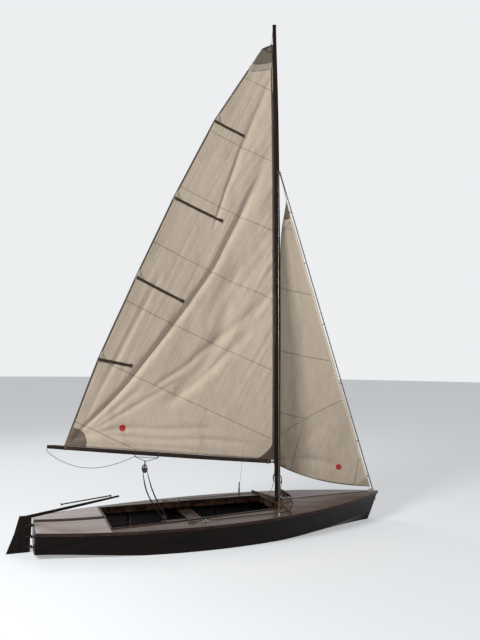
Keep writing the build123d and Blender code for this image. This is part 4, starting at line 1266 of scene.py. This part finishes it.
    def add_pockets(self) -> list[Piece]:
        """Sews a pocket behind each batten, and a corner of doubled cloth at its outer end.

        Returns:
            The pieces.
        """
        pieces = []
        half = self.batten_half + self.pocket_margin
        for number, batten in enumerate(self.battens, 1):
            made = self.form.sheet(lambda share, across, batten=batten: self.batten_place(
                batten, half, 0.01 + share, across), self.pocket_cells, self.pocket_lift)
            pieces.append(self.sew(f"batten_pocket_{number}", made, self.pocket_cloth,
                                   "sailcloth_doubled_shade"))
            x, z = batten[:2]
            low, high = on_corners(self.leech, z - 0.035), on_corners(self.leech, z + 0.11)
            corner = Patch("", (low[0] + 0.014, low[1]), (high[0] + 0.014, high[1]),
                           ((x + 0.12, z - 0.048),) * 3)
            made = self.form.sheet(corner.place, self.corner_cells, self.corner_lift)
            bmesh.ops.remove_doubles(made, verts=made.verts[:], dist=0.0004)
            pieces.append(self.sew(f"batten_corner_{number}", made, self.patch_cloth,
                                   "sailcloth_doubled_shade"))
        return pieces

    def build_battens(self) -> None:
        """Makes the battens, with the thicker stop at each inner end."""
        made = bmesh.new()
        for batten in self.battens:
            strip = self.form.sheet(lambda share, across, batten=batten: self.batten_place(
                batten, self.batten_half + self.batten_stop * step_up(0.93, 0.95, share), share,
                across), self.batten_cells, self.batten_lift)
            raise_sheet(strip, (0, -self.batten_thickness, 0))
            holder = bpy.data.meshes.new("strip")
            strip.to_mesh(holder)
            strip.free()
            made.from_mesh(holder)
            bpy.data.meshes.remove(holder)
        piece = self.shop.finished("sail_battens", made, ["batten_timber"], self.body, "inner_wood",
                                   smooth=False)
        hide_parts("battens")

    def build_headboard(self) -> None:
        """Makes the plate at the head, open in its middle, with a rounded rim."""
        made = bmesh.new()
        low, high = (corner.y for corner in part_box("headboard"))
        cover = 0.001
        ring = [made.verts.new((x + AFT, low - cover, z)) for x, z in self.headboard_corners]
        made.faces.new(ring).normal_update()
        rim = bmesh.ops.inset_region(made, faces=made.faces[:], thickness=self.headboard_rim,
                                     use_boundary=True)["faces"]
        bmesh.ops.delete(made, geom=[face for face in made.faces if face not in rim],
                         context="FACES")
        raise_sheet(made, (0, high - low + 2 * cover, 0))
        piece = self.shop.finished("sail_headboard", made, ["headboard_dark"], self.body,
                                   "headboard_plate", smooth=False)
        edge = piece.modifiers.new("edge", "BEVEL")
        edge.width, edge.segments = self.headboard_edge, 2
        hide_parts("headboard")


@dataclass
class Jib(Sail):
    """The jib with its patches, edges and mitre."""

    cells: tuple[int, int] = (64, 160)
    calm: float = 4.75
    tack: Place = (4.873, 0.478)
    head: Place = (3.4242, 4.764)
    clew: Place = (3.372, 0.868)
    # The leech runs up to a pointed head.
    leech: tuple[Place, ...] = (clew, (3.352, 4.047), (3.357, 4.219), (3.368, 4.370),
                                (3.385, 4.501), (3.401, 4.589), (3.417, 4.699), (3.4205, 4.764))
    foot: Place = (4.080, 0.588)
    # How far each tape's inner edge lies from the sail's own, along x and z.
    luff_tape: Place = (-0.030, -0.006)
    leech_tape: Place = (0.016, 0.0)
    foot_tape: Place = (0.0, 0.016)
    mark_at: Place = (4.400, 0.777)
    # Heights of the small puckers.
    luff_scallop: float = 0.006
    slow_pucker: float = 0.009
    fine_pucker: float = 0.004
    seams: tuple[Seam, ...] = (
        Seam((3.360, 3.472), (3.850, 3.384)), Seam((3.360, 2.541), (4.195, 2.389)),
        Seam((3.360, 1.232), (4.410, 1.807)), Seam((3.370, 1.630), (3.889, 1.509)),
        Seam((3.828, 1.434), (3.640, 0.730)), Seam((4.690, 0.90), (4.640, 0.500)),
        Seam((3.385, 4.310), (3.52, 4.500)), Seam((3.350, 4.362), (3.540, 4.350)),
    )
    creases: tuple[Crease, ...] = (
        Crease(((3.45, 0.95), (3.60, 1.7), (3.75, 2.5), (3.72, 3.4)), 0.13, 0.009, 0.8),
        Crease(((3.50, 0.92), (3.95, 1.25), (4.35, 1.75)), 0.10, 0.010, 0.8),
        Crease(((3.45, 4.5), (3.60, 3.6), (3.95, 2.5)), 0.06, -0.006, 0.8),
        Crease(((3.42, 0.90), (3.95, 0.95), (4.50, 0.80)), 0.07, 0.012),
    )
    patches: tuple[Patch, ...] = (
        Patch("jib_head_patch", (3.419, 4.756), (3.423, 4.756),
              ((3.391, 4.500), (3.43, 4.488), (3.492, 4.512)), "sailcloth_corner_shade"),
        Patch("jib_tack_patch", (4.868, 0.481), (4.868, 0.481),
              ((4.640, 0.497), (4.74, 0.565), (4.823, 0.610))),
        Patch("jib_clew_patch", (3.376, 0.866), (3.376, 0.866),
              ((3.372, 1.080), (3.53, 0.975), (3.560, 0.800))),
    )

    def place(self, across: float, up: float) -> Place:
        """Place on the whole sail, whose foot is bowed.

        Args:
            across: Share of the way from the luff to the leech.
            up: Share of the way from the foot up.

        Returns:
            The place.
        """
        straight = mixed(self.luff_at(up), self.leech_at(up), across)
        bow = on_bow(self.tack, self.foot, self.clew, across)
        chord = mixed(self.tack, self.clew, across)
        return tuple(s + (b - c) * (1 - up) ** 6 for s, b, c in zip(straight, bow, chord))

    def luff_at(self, share: float) -> Place:
        """Place on the luff, from the tack up."""
        return mixed(self.tack, self.head, share)

    def leech_at(self, share: float) -> Place:
        """Place on the leech, from the clew up."""
        return on_corners(self.leech, self.clew[1] + share * (self.head[1] - self.clew[1]))

    def foot_at(self, share: float) -> Place:
        """Place on the foot, from the tack aft."""
        return self.place(share, 0.0)

    def ripple(self, x: float, z: float) -> float:
        """Small puckers between the hanks and across the cloth.

        Args:
            x: Forward of the transom.
            z: Height.

        Returns:
            The push to port in metres.
        """
        slope = (self.head[0] - self.tack[0]) / (self.head[1] - self.tack[1])
        from_luff = max(0.0, self.tack[0] + slope * (z - self.tack[1]) - x)
        scallop = self.luff_scallop * math.sin(z * 7.1) * math.exp(-from_luff / 0.10)
        drift = self.slow_pucker * noise.noise(Vector((x * 2.2, z * 0.7, 4.4)))
        fine = self.fine_pucker * noise.noise(Vector(((x + 0.5 * z) * 8, z * 0.8, 2.4)))
        return scallop + drift + fine

    def build(self) -> None:
        """Makes the sail and all that is sewn to it."""
        self.form = SailForm(self.shop, "jib", self.creases, self.ripple, self.calm)
        made = self.form.sheet(self.place, self.cells, seams=self.seams, smoothing=self.smoothing)
        sail = self.sew("jib_cloth", made, self.cloth, "sailcloth_plain", "sailcloth_seam_shade")
        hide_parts("jib")
        sewn = self.add_patches(self.patches)
        sewn.append(self.add_edge("jib_luff_tape", self.luff_at, self.luff_inside, self.cells[1],
                                  "luff_tape"))
        sewn.append(self.add_edge("jib_leech_tape", self.leech_at, self.leech_inside, self.cells[1],
                                  "sailcloth_doubled_shade"))
        sewn.append(self.add_edge("jib_foot_tape", self.foot_at, self.foot_inside, self.cells[0]))
        sewn.extend(self.add_marks("jib_mark", self.mark_at))

    def luff_inside(self, share: float) -> Place:
        """Inner edge of the luff tape."""
        x, z = self.luff_at(share)
        return x + self.luff_tape[0] * (1 - step_up(0.97, 1.0, share)), z + self.luff_tape[1]

    def leech_inside(self, share: float) -> Place:
        """Inner edge of the leech tape."""
        x, z = self.leech_at(share)
        return x + self.leech_tape[0] * (1 - step_up(0.96, 1.0, share)), z + self.leech_tape[1]

    def foot_inside(self, share: float) -> Place:
        """Upper edge of the foot tape."""
        x, z = self.foot_at(share)
        return x + self.foot_tape[0], z + self.foot_tape[1]


@dataclass
class Rope:
    """A rope along listed places, given forward from the transom."""

    name: str
    radius: float
    finish: str
    body: str = "hull"

    def lay(self, shop: Workshop, route: Sequence[Spot], as_mesh: bool = False) -> Piece:
        """Lays the rope along its route.

        Args:
            shop: The workshop.
            route: Its places.
            as_mesh: Makes it a mesh, for a rope that runs between bodies.

        Returns:
            The rope.
        """
        curve = bpy.data.curves.new(self.name, "CURVE")
        curve.dimensions = "3D"
        curve.bevel_depth = self.radius
        curve.bevel_resolution = 3
        curve.resolution_u = 8
        curve.use_fill_caps = True
        spline = curve.splines.new("NURBS")
        spline.points.add(len(route) - 1)
        for point, (x, y, z) in zip(spline.points, route):
            point.co = (x + AFT, y, z, 1.0)
        spline.order_u = 3
        spline.use_endpoint_u = True
        curve.materials.append(shop.finishes[self.finish])
        piece = bpy.data.objects.new(self.name, curve)
        if as_mesh:
            mesh = bpy.data.meshes.new_from_object(piece)
            mesh.name = self.name
            mesh.shade_smooth()
            bpy.data.objects.remove(piece)
            piece = bpy.data.objects.new(self.name, mesh)
        bpy.context.scene.collection.objects.link(piece)
        LOG.info("laid %s", self.name)
        return piece

    def rig(self, shop: Workshop, route: Sequence[Spot]) -> Piece:
        """Lays the rope and makes it ride on its body.

        Args:
            shop: The workshop.
            route: Its places.

        Returns:
            The rope.
        """
        piece = self.lay(shop, route)
        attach(piece, self.body)
        return piece


def rope_length(piece: Piece) -> float:
    """Length of a rope along its middle line.

    Args:
        piece: The rope's curve.

    Returns:
        Its length in metres.
    """
    line = piece.copy()
    line.data = piece.data.copy()
    line.data.bevel_depth = 0.0
    mesh = bpy.data.meshes.new_from_object(line)
    places = [vertex.co for vertex in mesh.vertices]
    total = sum((places[edge.vertices[0]] - places[edge.vertices[1]]).length for edge in mesh.edges)
    bpy.data.meshes.remove(mesh)
    bpy.data.objects.remove(line)
    return total


@dataclass
class Rigging:
    """Halyards, sheets, lashings and the twisted forestay."""

    shop: Workshop
    deck: BVHTree = field(init=False)
    stay_top: Spot = (3.3187, 0.0, 5.165)
    stay_foot: Spot = (4.912, 0.0, 0.452)
    strand_radius: float = 0.0054
    stay_pitch: float = 0.075
    # The middle of each cleat on the mast, and how a halyard's turns lie round it.
    cleat_x: float = 3.309
    cleat_y: float = 0.067
    cleat_z: float = 0.690
    hitch_long: float = 0.060
    hitch_wide: float = 0.032
    hitch_rise: float = 0.0011
    # Where the jib's sheets pass their leads on the side decks, and the clew that they start from.
    lead_x: tuple[float, ...] = (2.080, 2.030, 1.985)
    lead_z: float = 0.366
    jib_clew: Spot = (3.380, 0.258, 0.876)
    # How far the mainsheet's falls reach into each block.
    block_overlap: float = 0.026
    # Middle line of the boom at its outer end, x and z, and its rise going forward.
    boom_end: Place = (0.12, 1.2745)
    boom_slope: float = (0.932 - 1.276) / (3.2435 - 0.12)

    def __post_init__(self) -> None:
        """Finds the decks, which ropes lie on."""
        self.deck = self.shop.surface(
            "foredeck_port", "foredeck_starboard", "side_deck_port", "side_deck_starboard",
            "afterdeck_port",
            "afterdeck_starboard", "coaming", "mast_collar", "breakwater", "foredeck_ridge",
            "floorboards")

    def on_deck(self, x: float, y: float, above: float = 0.006) -> Spot:
        """A place just above the deck.

        Args:
            x: Forward of the transom.
            y: To port.
            above: Height above the deck.

        Returns:
            The place.
        """
        hit = self.deck.ray_cast(Vector((x + AFT, y, 2.0)), Vector((0, 0, -1)))[0]
        return x, y, (hit.z if hit else 0.36) + above

    def build(self) -> None:
        """Makes every rope and the stay."""
        self.halyards()
        self.forward_coil()
        self.aft_coil()
        self.boom_line()
        self.jib_sheets()
        self.mainsheet()
        self.lanyards()
        self.corner_lashings()
        self.twisted_stay()

    def free_rope(self, rope: Rope, route: Sequence[Spot]) -> None:
        """Args:
            rope: The rope.
            route: Its places, from where it leaves the rig.
        """
        piece = rope.rig(self.shop, route)
        rope_length(piece)

    def halyards(self) -> None:
        """Both halyards: the parts at the sails' heads and the falls to the cleats."""
        runs = (
            ("jib_halyard", 0.0035,
             [(3.422, 0.0, 4.764), (3.412, -0.001, 4.81), (3.388, -0.008, 4.90),
              (3.350, -0.010, 5.02), (3.318, -0.008, 5.12), (3.306, 0.0, 5.155)]),
            ("main_halyard_fall", 0.003,
             [(3.198, -0.030, 7.39), (3.256, -0.037, 5.40), (3.284, -0.039, 3.90),
              (3.300, -0.040, 2.00), (3.306, -0.042, 1.20), (3.309, -0.054, 0.745)]),
            ("jib_halyard_fall", 0.003,
             [(3.276, 0.038, 5.12), (3.284, 0.039, 3.90), (3.300, 0.040, 2.00),
              (3.306, 0.042, 1.20), (3.309, 0.054, 0.745)]),
        )
        for name, radius, route in runs:
            Rope(name, radius, "dark_rope").rig(self.shop, route)
        low, high = Vector((3.158 + AFT, 0.004, 7.116)), Vector((3.178 + AFT, 0.0, 7.41))
        route = [(x - AFT, y, z) for x, y, z in (low.lerp(high, number / 8) for number in range(9))]
        piece = Rope("main_halyard", 0.003, "dark_rope").lay(self.shop, route, as_mesh=True)
        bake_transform(piece)

    def hitches(self, side: Side) -> list[Spot]:
        """Turns of a halyard round its cleat.

        Args:
            side: The cleat's side of the mast.

        Returns:
            The rope's places.
        """
        route = [(self.cleat_x, side.value * y, z) for y, z in ((0.058, 0.790), (0.066, 0.762))]
        steps = 10
        for step in range(1, 2 * steps + 2):
            turn = 2 * math.pi * step / steps
            route.append((self.cleat_x + self.hitch_wide * math.sin(turn),
                          side.value * (self.cleat_y + self.hitch_rise * step),
                          self.cleat_z + self.hitch_long * math.cos(turn)))
        return route

    def forward_coil(self) -> None:
        """The jib halyard's tail, coiled on the foredeck and leant on the mast."""
        route = self.hitches(Side.PORT)
        route += [(3.352, 0.090, 0.69), (3.358, 0.088, 0.63), (3.358, 0.070, 0.575)]
        turns, steps, spacing = 10, 12, 0.0088
        for step in range(turns * steps + 1):
            number, turn = step / steps, 2 * math.pi * step / steps
            # Each turn leans a little flatter than the last, and is a little wider or taller.
            lean = math.radians(76 - 5.5 * number)
            wide = 0.052 + 0.009 * math.sin(2.1 * number)
            tall = 0.058 + 0.008 * math.cos(1.7 * number)
            up = tall * math.cos(turn)
            route.append((3.357 + spacing * number + (tall - up) * math.cos(lean),
                          0.006 * math.sin(1.3 * number) - wide * math.sin(turn),
                          0.424 + (tall + up) * math.sin(lean) + 0.003 * math.sin(turn + number)))
        self.free_rope(Rope("jib_halyard_coil", 0.0043, "dark_rope"), route)

    def aft_coil(self) -> None:
        """The main halyard's tail, dropped in loops over the front of the cockpit."""
        route = self.hitches(Side.STARBOARD)
        route += [(3.338, -0.094, 0.68), (3.318, -0.110, 0.61), (3.276, -0.122, 0.53),
                  (3.246, -0.118, 0.462)]
        # Columns: place along the boat, height. Each loop folds over the cockpit's front board.
        fold = ((3.240, 0.428), (3.214, 0.430), (3.181, 0.418), (3.1705, 0.365), (3.1685, 0.300))
        turns, steps, spacing = 11, 12, 0.0165
        for step in range(1, turns * steps + 1):
            number, turn = step / steps, 2 * math.pi * step / steps
            down = (1 - math.cos(turn)) / 2 * (len(fold) - 1.001)
            x, z = mixed(fold[int(down)], fold[int(down) + 1], down % 1)
            layer = 0.006 + 0.006 * math.sin(2.1 * number)
            wide = 0.058 + 0.004 * math.sin(2.3 * number)
            route.append((x - 0.7 * layer, -0.088 + spacing * number + wide * math.sin(turn),
                          z + layer))
        route += [(3.240, 0.130, 0.424), self.on_deck(3.250, 0.165), self.on_deck(3.272, 0.192),
                  self.on_deck(3.305, 0.196), self.on_deck(3.335, 0.180)]
        self.free_rope(Rope("main_halyard_coil", 0.0042, "dark_rope"), route)

    def boom_line(self) -> None:
        """The slack line under the boom's outer part."""
        route = [(0.116, 0.0, 1.244), (0.132, 0.0, 1.212), (0.20, 0.003, 1.150),
                 (0.33, 0.004, 1.070), (0.50, 0.004, 1.003), (0.66, 0.003, 0.978),
                 (0.82, 0.002, 0.980), (0.98, 0.0, 1.014), (1.12, 0.0, 1.058), (1.20, 0.0, 1.090),
                 (1.228, 0.0, 1.103)]
        self.free_rope(Rope("boom_slack_line", 0.0035, "grey_rope", "boom"), route)

    def jib_sheets(self) -> None:
        """Both sheets, from the jib's clew down behind the mast and aft to the leads."""
        port = [self.jib_clew, (3.386, 0.262, 0.80), (3.383, 0.270, 0.68), (3.372, 0.285, 0.55),
                (3.352, 0.305, 0.455)]
        port += [self.on_deck(x, y) for x, y in (
            (3.315, 0.345), (3.268, 0.41), (3.236, 0.50), (3.208, 0.575), (3.14, 0.610),
            (3.00, 0.622), (2.82, 0.618), (2.60, 0.612), (2.35, 0.610), (2.16, 0.613))]
        port += [(x, y, self.lead_z) for x, y in zip(self.lead_x, (0.615, 0.615, 0.614))]
        port += [self.on_deck(x, y) for x, y in (
            (1.93, 0.600), (1.87, 0.575), (1.80, 0.580), (1.765, 0.615), (1.80, 0.648),
            (1.86, 0.650))]
        lazy = [self.jib_clew, (3.392, 0.240, 0.78), (3.404, 0.205, 0.63), (3.424, 0.160, 0.50)]
        lazy += [self.on_deck(x, y) for x, y in (
            (3.462, 0.105), (3.492, 0.030), (3.496, -0.030), (3.480, -0.13), (3.42, -0.28),
            (3.33, -0.41), (3.262, -0.50), (3.206, -0.566), (3.12, -0.590), (2.98, -0.592),
            (2.80, -0.585), (2.55, -0.583), (2.30, -0.595), (2.16, -0.611))]
        lazy += [(x, y, self.lead_z) for x, y in zip(self.lead_x, (-0.615, -0.615, -0.614))]
        lazy += [self.on_deck(x, y) for x, y in (
            (1.93, -0.600), (1.88, -0.575), (1.82, -0.585), (1.80, -0.625), (1.84, -0.655),
            (1.90, -0.650))]
        for name, route, finish in (("jib_sheet_port", port, "grey_rope"),
                                    ("jib_sheet_starboard", lazy, "dark_rope")):
            self.free_rope(Rope(name, 0.004, finish), route)

    def mainsheet(self) -> None:
        """The four falls of the mainsheet between its blocks, a little slack."""
        low_block, high_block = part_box("lower_block"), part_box("upper_block")
        start = Vector(((low_block[0].x + low_block[1].x) / 2, 0,
                        low_block[1].z - self.block_overlap))
        end = Vector(((high_block[0].x + high_block[1].x) / 2, 0,
                      high_block[0].z + self.block_overlap))
        # Columns: place along the boat from the block's middle, place across, slack.
        falls = ((-0.027, -0.006, 0.078), (-0.027, 0.006, 0.064), (0.027, -0.006, 0.048),
                 (0.027, 0.006, 0.036))
        for number, (offset, y, slack) in enumerate(falls, 1):
            route = []
            for share in (0.0, 0.25, 0.5, 0.75, 1.0):
                middle = start.lerp(end, share)
                route.append((middle.x + offset - slack * math.sin(math.pi * share) - AFT, y,
                              middle.z))
            rope = Rope(f"mainsheet_fall_{number}", 0.0045, "dark_rope")
            piece = rope.lay(self.shop, route, as_mesh=True)
            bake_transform(piece)
        self.block_strop(end)

    def block_strop(self, middle: Vector) -> None:
        """The rope strop and becket turns round the upper block.

        Args:
            middle: Where the falls leave the block.
        """
        route = []
        x, z = middle.x - AFT, middle.z + 0.018
        turns, steps = 3, 12
        for step in range(turns * steps + 1):
            turn = 2 * math.pi * step / steps
            wide, tall = 0.034 + 0.003 * math.sin(turn * 0.7), 0.050 + 0.006 * math.cos(turn * 0.6)
            route.append((x + wide * math.sin(turn), 0.017 * math.cos(turn / 2),
                          z + tall * math.cos(turn)))
        Rope("mainsheet_strop", 0.0045, "dark_rope", "boom").rig(self.shop, route)

    def lanyards(self) -> None:
        """Lanyards that set up the shrouds at the chainplates."""
        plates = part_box("chainplates")
        x, reach, top = (plates[0].x + plates[1].x) / 2 - AFT, plates[1].y - 0.013, plates[1].z
        for side in reversed(Side):
            route = []
            for turn in range(4):
                gap, y = 0.006 + 0.0012 * turn, side.value * (reach - 0.002 * turn)
                route += [(x - gap, y, top - 0.012), (x - gap, y, top + 0.06),
                          (x - 0.4 * gap, y, top + 0.118), (x + 0.4 * gap, y, top + 0.118),
                          (x + gap, y, top + 0.06), (x + gap, y, top - 0.012)]
            Rope(f"shroud_lanyard_{side.name.lower()}", 0.0032, "brown_rope").rig(self.shop, route)

    def corner_lashings(self) -> None:
        """Turns of thin line round the boom at the sail's clew and tack, and the outhaul."""
        for name, x, turns, radius in (("clew_lashing", 0.345, 4, 0.0265),
                                       ("tack_lashing", 3.150, 3, 0.0275)):
            middle = self.boom_end[1] + self.boom_slope * (x - self.boom_end[0])
            route = []
            steps, spacing = 10, 0.0075
            for step in range(turns * steps + 1):
                turn = 2 * math.pi * step / steps
                route.append((x + spacing * (step / steps - turns / 2), radius * math.sin(turn),
                              middle + radius * math.cos(turn)))
            Rope(name, 0.0028, "grey_rope", "boom").rig(self.shop, route)
        route = [(0.340, 0.002, 1.280), (0.27, 0.002, 1.286), (0.20, 0.001, 1.292),
                 (0.135, 0.0, 1.290)]
        Rope("outhaul", 0.0025, "grey_rope", "boom").rig(self.shop, route)

    def twisted_stay(self) -> None:
        """The forestay, two strands laid round each other from hounds to stem: one pale as painted
        highlight and one dark as painted shade.
        """
        top = Vector(self.stay_top) + Vector((AFT, 0, 0))
        way = Vector(self.stay_foot) + Vector((AFT, 0, 0)) - top
        sides = 10
        steps = round(way.length / self.stay_pitch * sides)
        made = bmesh.new()
        for strand, side in enumerate((1, -1)):
            ring = bmesh.ops.create_circle(made, segments=6, radius=self.strand_radius)["verts"]
            bmesh.ops.translate(made, verts=ring, vec=(side * self.strand_radius, 0, 0))
            edges = list(dict.fromkeys(edge for vertex in ring for edge in vertex.link_edges))
            before = set(made.faces)
            bmesh.ops.spin(made, geom=ring + edges, cent=(0, 0, 0), axis=(0, 0, 1),
                           dvec=(0, 0, way.length / steps), angle=2 * math.pi * steps / sides,
                           steps=steps, use_merge=False, use_duplicate=False)
            for face in set(made.faces) - before:
                face.material_index = strand
        bmesh.ops.holes_fill(made, edges=[edge for edge in made.edges if edge.is_boundary], sides=0)
        bmesh.ops.recalc_face_normals(made, faces=made.faces[:])
        bmesh.ops.rotate(made, verts=made.verts[:], cent=(0, 0, 0),
                         matrix=way.to_track_quat("Z", "Y").to_matrix())
        bmesh.ops.translate(made, verts=made.verts[:], vec=top)
        piece = self.shop.finished("forestay_strands", made, ["stay_strand_painted_highlight", "stay_strand_painted_shade"], "hull",
                                   "rigging_steel")
        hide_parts("forestay")


@dataclass
class Fastenings:
    """Small domed screw heads along the rails and deck edges."""

    shop: Workshop
    radius: float = 0.0042
    spacing: float = 0.16
    first: float = 0.10
    last: float = 4.60
    rail_heights: tuple[float, ...] = (0.335, 0.345, 0.355, 0.365, 0.375, 0.385)
    deck_inset: float = 0.045
    doming: float = 0.45

    def build(self) -> None:
        """Sets the heads in the rub rails and in the decks' outer edges."""
        for side in Side:
            label = side.name.lower()
            rail = self.shop.surface(f"rub_rail_{label}")
            deck = self.shop.surface(f"side_deck_{label}", f"foredeck_{label}",
                                     f"afterdeck_{label}")
            made = bmesh.new()
            for number in range(int((self.last - self.first) / self.spacing) + 1):
                x = self.first + number * self.spacing + AFT
                for height in self.rail_heights:
                    outside = Vector((x, side.value * 2.0, height))
                    hit, out = rail.ray_cast(outside, Vector((0, -side.value, 0)))[:2]
                    if hit:
                        self.head(made, hit, out)
                        edge = Vector((x, hit.y - side.value * self.deck_inset, 2.0))
                        hit, out = deck.ray_cast(edge, Vector((0, 0, -1)))[:2]
                        if hit:
                            self.head(made, hit, out)
                        break
            self.shop.finished(f"screw_heads_{label}", made, ["bronze"], "hull", "rigging_steel")

    def head(self, made: BMesh, place: Vector, out: Vector) -> None:
        """Adds one head.

        Args:
            made: The mesh under work.
            place: Where it stands.
            out: The way out of the surface.
        """
        verts = bmesh.ops.create_icosphere(made, subdivisions=1, radius=self.radius)["verts"]
        bmesh.ops.scale(made, verts=verts, vec=(1, 1, self.doming))
        turn = Vector(out).to_track_quat("Z", "Y").to_matrix()
        bmesh.ops.rotate(made, verts=verts, cent=(0, 0, 0), matrix=turn)
        bmesh.ops.translate(made, verts=verts, vec=place)


@dataclass
class Studio:
    """Floor at the water's height, soft lights and the camera."""

    shop: Workshop
    outline_steps: int = 128
    floor_radius: float = 70.0
    inset: float = 0.005
    backdrop: Colour = seen(236, 238, 240)
    floor_colour: Colour = seen(180, 182, 184)
    # How bright the surroundings are as light on the dinghy.
    ambient: float = 0.42
    camera_at: Spot = (-2.891, -7.976, 2.397)
    looks_along: Spot = (0.3607, 0.9304, 0.0656)
    roll: float = math.radians(0.70)
    lens: float = 33.75
    sensor: float = 36.0
    lit_spot: Spot = (0, 0, 2.5)

    def build(self) -> None:
        """Sets the stage."""
        self.world()
        self.floor()
        self.lamp("key", (-9.0, -5.0, 7.5), 3.0, 1350)
        self.lamp("fill", (8.0, -7.0, 5.0), 6.0, 240)
        self.lamp("rim", (-4.0, 8.0, 8.0), 5.0, 300)
        self.camera()
        bpy.context.scene.view_settings.view_transform = "Standard"

    def camera(self) -> None:
        """The camera, at the photograph's place and with its view."""
        data = bpy.data.cameras.new("camera")
        data.lens = self.lens
        data.sensor_width = self.sensor
        data.clip_end = 200.0
        camera = bpy.data.objects.new("camera", data)
        turn = Vector(self.looks_along).to_track_quat("-Z", "Y").to_matrix()
        turn = turn @ Matrix.Rotation(self.roll, 3, "Z")
        camera.matrix_world = Matrix.Translation(self.camera_at) @ turn.to_4x4()
        bpy.context.scene.collection.objects.link(camera)
        bpy.context.scene.camera = camera

    def world(self) -> None:
        """Pale surroundings, plain in the view and softer as light."""
        world = bpy.data.worlds.new("studio")
        bpy.context.scene.world = world
        world.use_nodes = True
        world.node_tree.nodes.clear()
        graph = Graph(world.node_tree)
        strength = graph.spread(graph.seen_directly(), 0.0, 1.0, self.ambient, 1.0)
        looks = {"Color": (*self.backdrop, 1), "Strength": strength}
        back = graph.add("ShaderNodeBackground", looks)
        graph.add("ShaderNodeOutputWorld", {"Surface": back.outputs[0]})

    def floor(self) -> None:
        """Plain pale floor at the waterline, open where the hull floats."""
        made = bmesh.new()
        bmesh.ops.create_circle(made, segments=self.outline_steps, radius=self.floor_radius)
        self.cut_waterline(made)
        bmesh.ops.bridge_loops(made, edges=made.edges[:])
        bmesh.ops.recalc_face_normals(made, faces=made.faces[:])
        if made.faces[0].normal.z < 0:
            bmesh.ops.reverse_faces(made, faces=made.faces[:])
        mesh = bpy.data.meshes.new("floor")
        made.to_mesh(mesh)
        made.free()
        mesh.materials.append(self.floor_finish())
        floor = bpy.data.objects.new("floor", mesh)
        bpy.context.scene.collection.objects.link(floor)

    def cut_waterline(self, made: BMesh) -> None:
        """Adds a ring just inside the hull's outline at the waterline, for the floor's inner edge.

        Args:
            made: The floor under work.
        """
        ring = bmesh.ops.create_circle(made, segments=self.outline_steps, radius=1.0)["verts"]
        hull = self.shop.surface(*NODE_FINISH["hull_varnish"])
        stern, bow = (hull.ray_cast(Vector((side * 4.0, 0.0, 0.0)), Vector((-side, 0.0, 0.0)))[0].x
                      for side in (-1, 1))
        for vertex in ring:
            x = (stern + bow) / 2 + ((bow - stern) / 2 - self.inset) * vertex.co.x
            side = math.copysign(1, vertex.co.y)
            hit = hull.ray_cast(Vector((x, side * 2.0, 0.0)), Vector((0.0, -side, 0.0)))[0]
            vertex.co = (x, side * max(0.0, abs(hit.y) - self.inset) if hit else 0.0, 0.0)

    def floor_finish(self) -> bpy.types.Material:
        """The floor's material, as bright as the surroundings and clear from below.

        Returns:
            The material.
        """
        material, graph, _ = open_material("floor")
        shader = graph.add("ShaderNodeBsdfPrincipled", {
            "Base Color": (*self.floor_colour, 1), "Roughness": 0.95, "Specular IOR Level": 0.0,
            "Emission Color": (*self.backdrop, 1),
            "Emission Strength": graph.math("MULTIPLY", graph.seen_directly(), self.ambient)})
        below = graph.add("ShaderNodeNewGeometry").outputs["Backfacing"]
        clear = graph.add("ShaderNodeBsdfTransparent")
        halves = {0: below, 1: shader.outputs[0], 2: clear.outputs[0]}
        surface = graph.add("ShaderNodeMixShader", halves)
        graph.add("ShaderNodeOutputMaterial", {"Surface": surface.outputs[0]})
        return material

    def lamp(self, name: str, place: Spot, size: float, power: float) -> None:
        """A soft square lamp that faces the rig.

        Args:
            name: The lamp's name.
            place: Where it stands.
            size: Length of its sides.
            power: Its power in watts.
        """
        data = bpy.data.lights.new(name, "AREA")
        data.size = size
        data.energy = power
        lamp = bpy.data.objects.new(name, data)
        lamp.location = place
        facing = Vector(self.lit_spot) - Vector(place)
        lamp.rotation_euler = facing.to_track_quat("-Z", "Y").to_euler()
        bpy.context.scene.collection.objects.link(lamp)


def main() -> None:
    """Dresses the dinghy and sets the studio."""
    logging.basicConfig(level=logging.INFO, format="%(message)s")
    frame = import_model()
    shop = Workshop(frame)
    Studio(shop).build()
    shop.mix_finishes()
    Rigging(shop).build()
    Fastenings(shop).build()
    Mainsail(shop).build()
    Jib(shop).build()


if __name__ == "__main__":
    main()
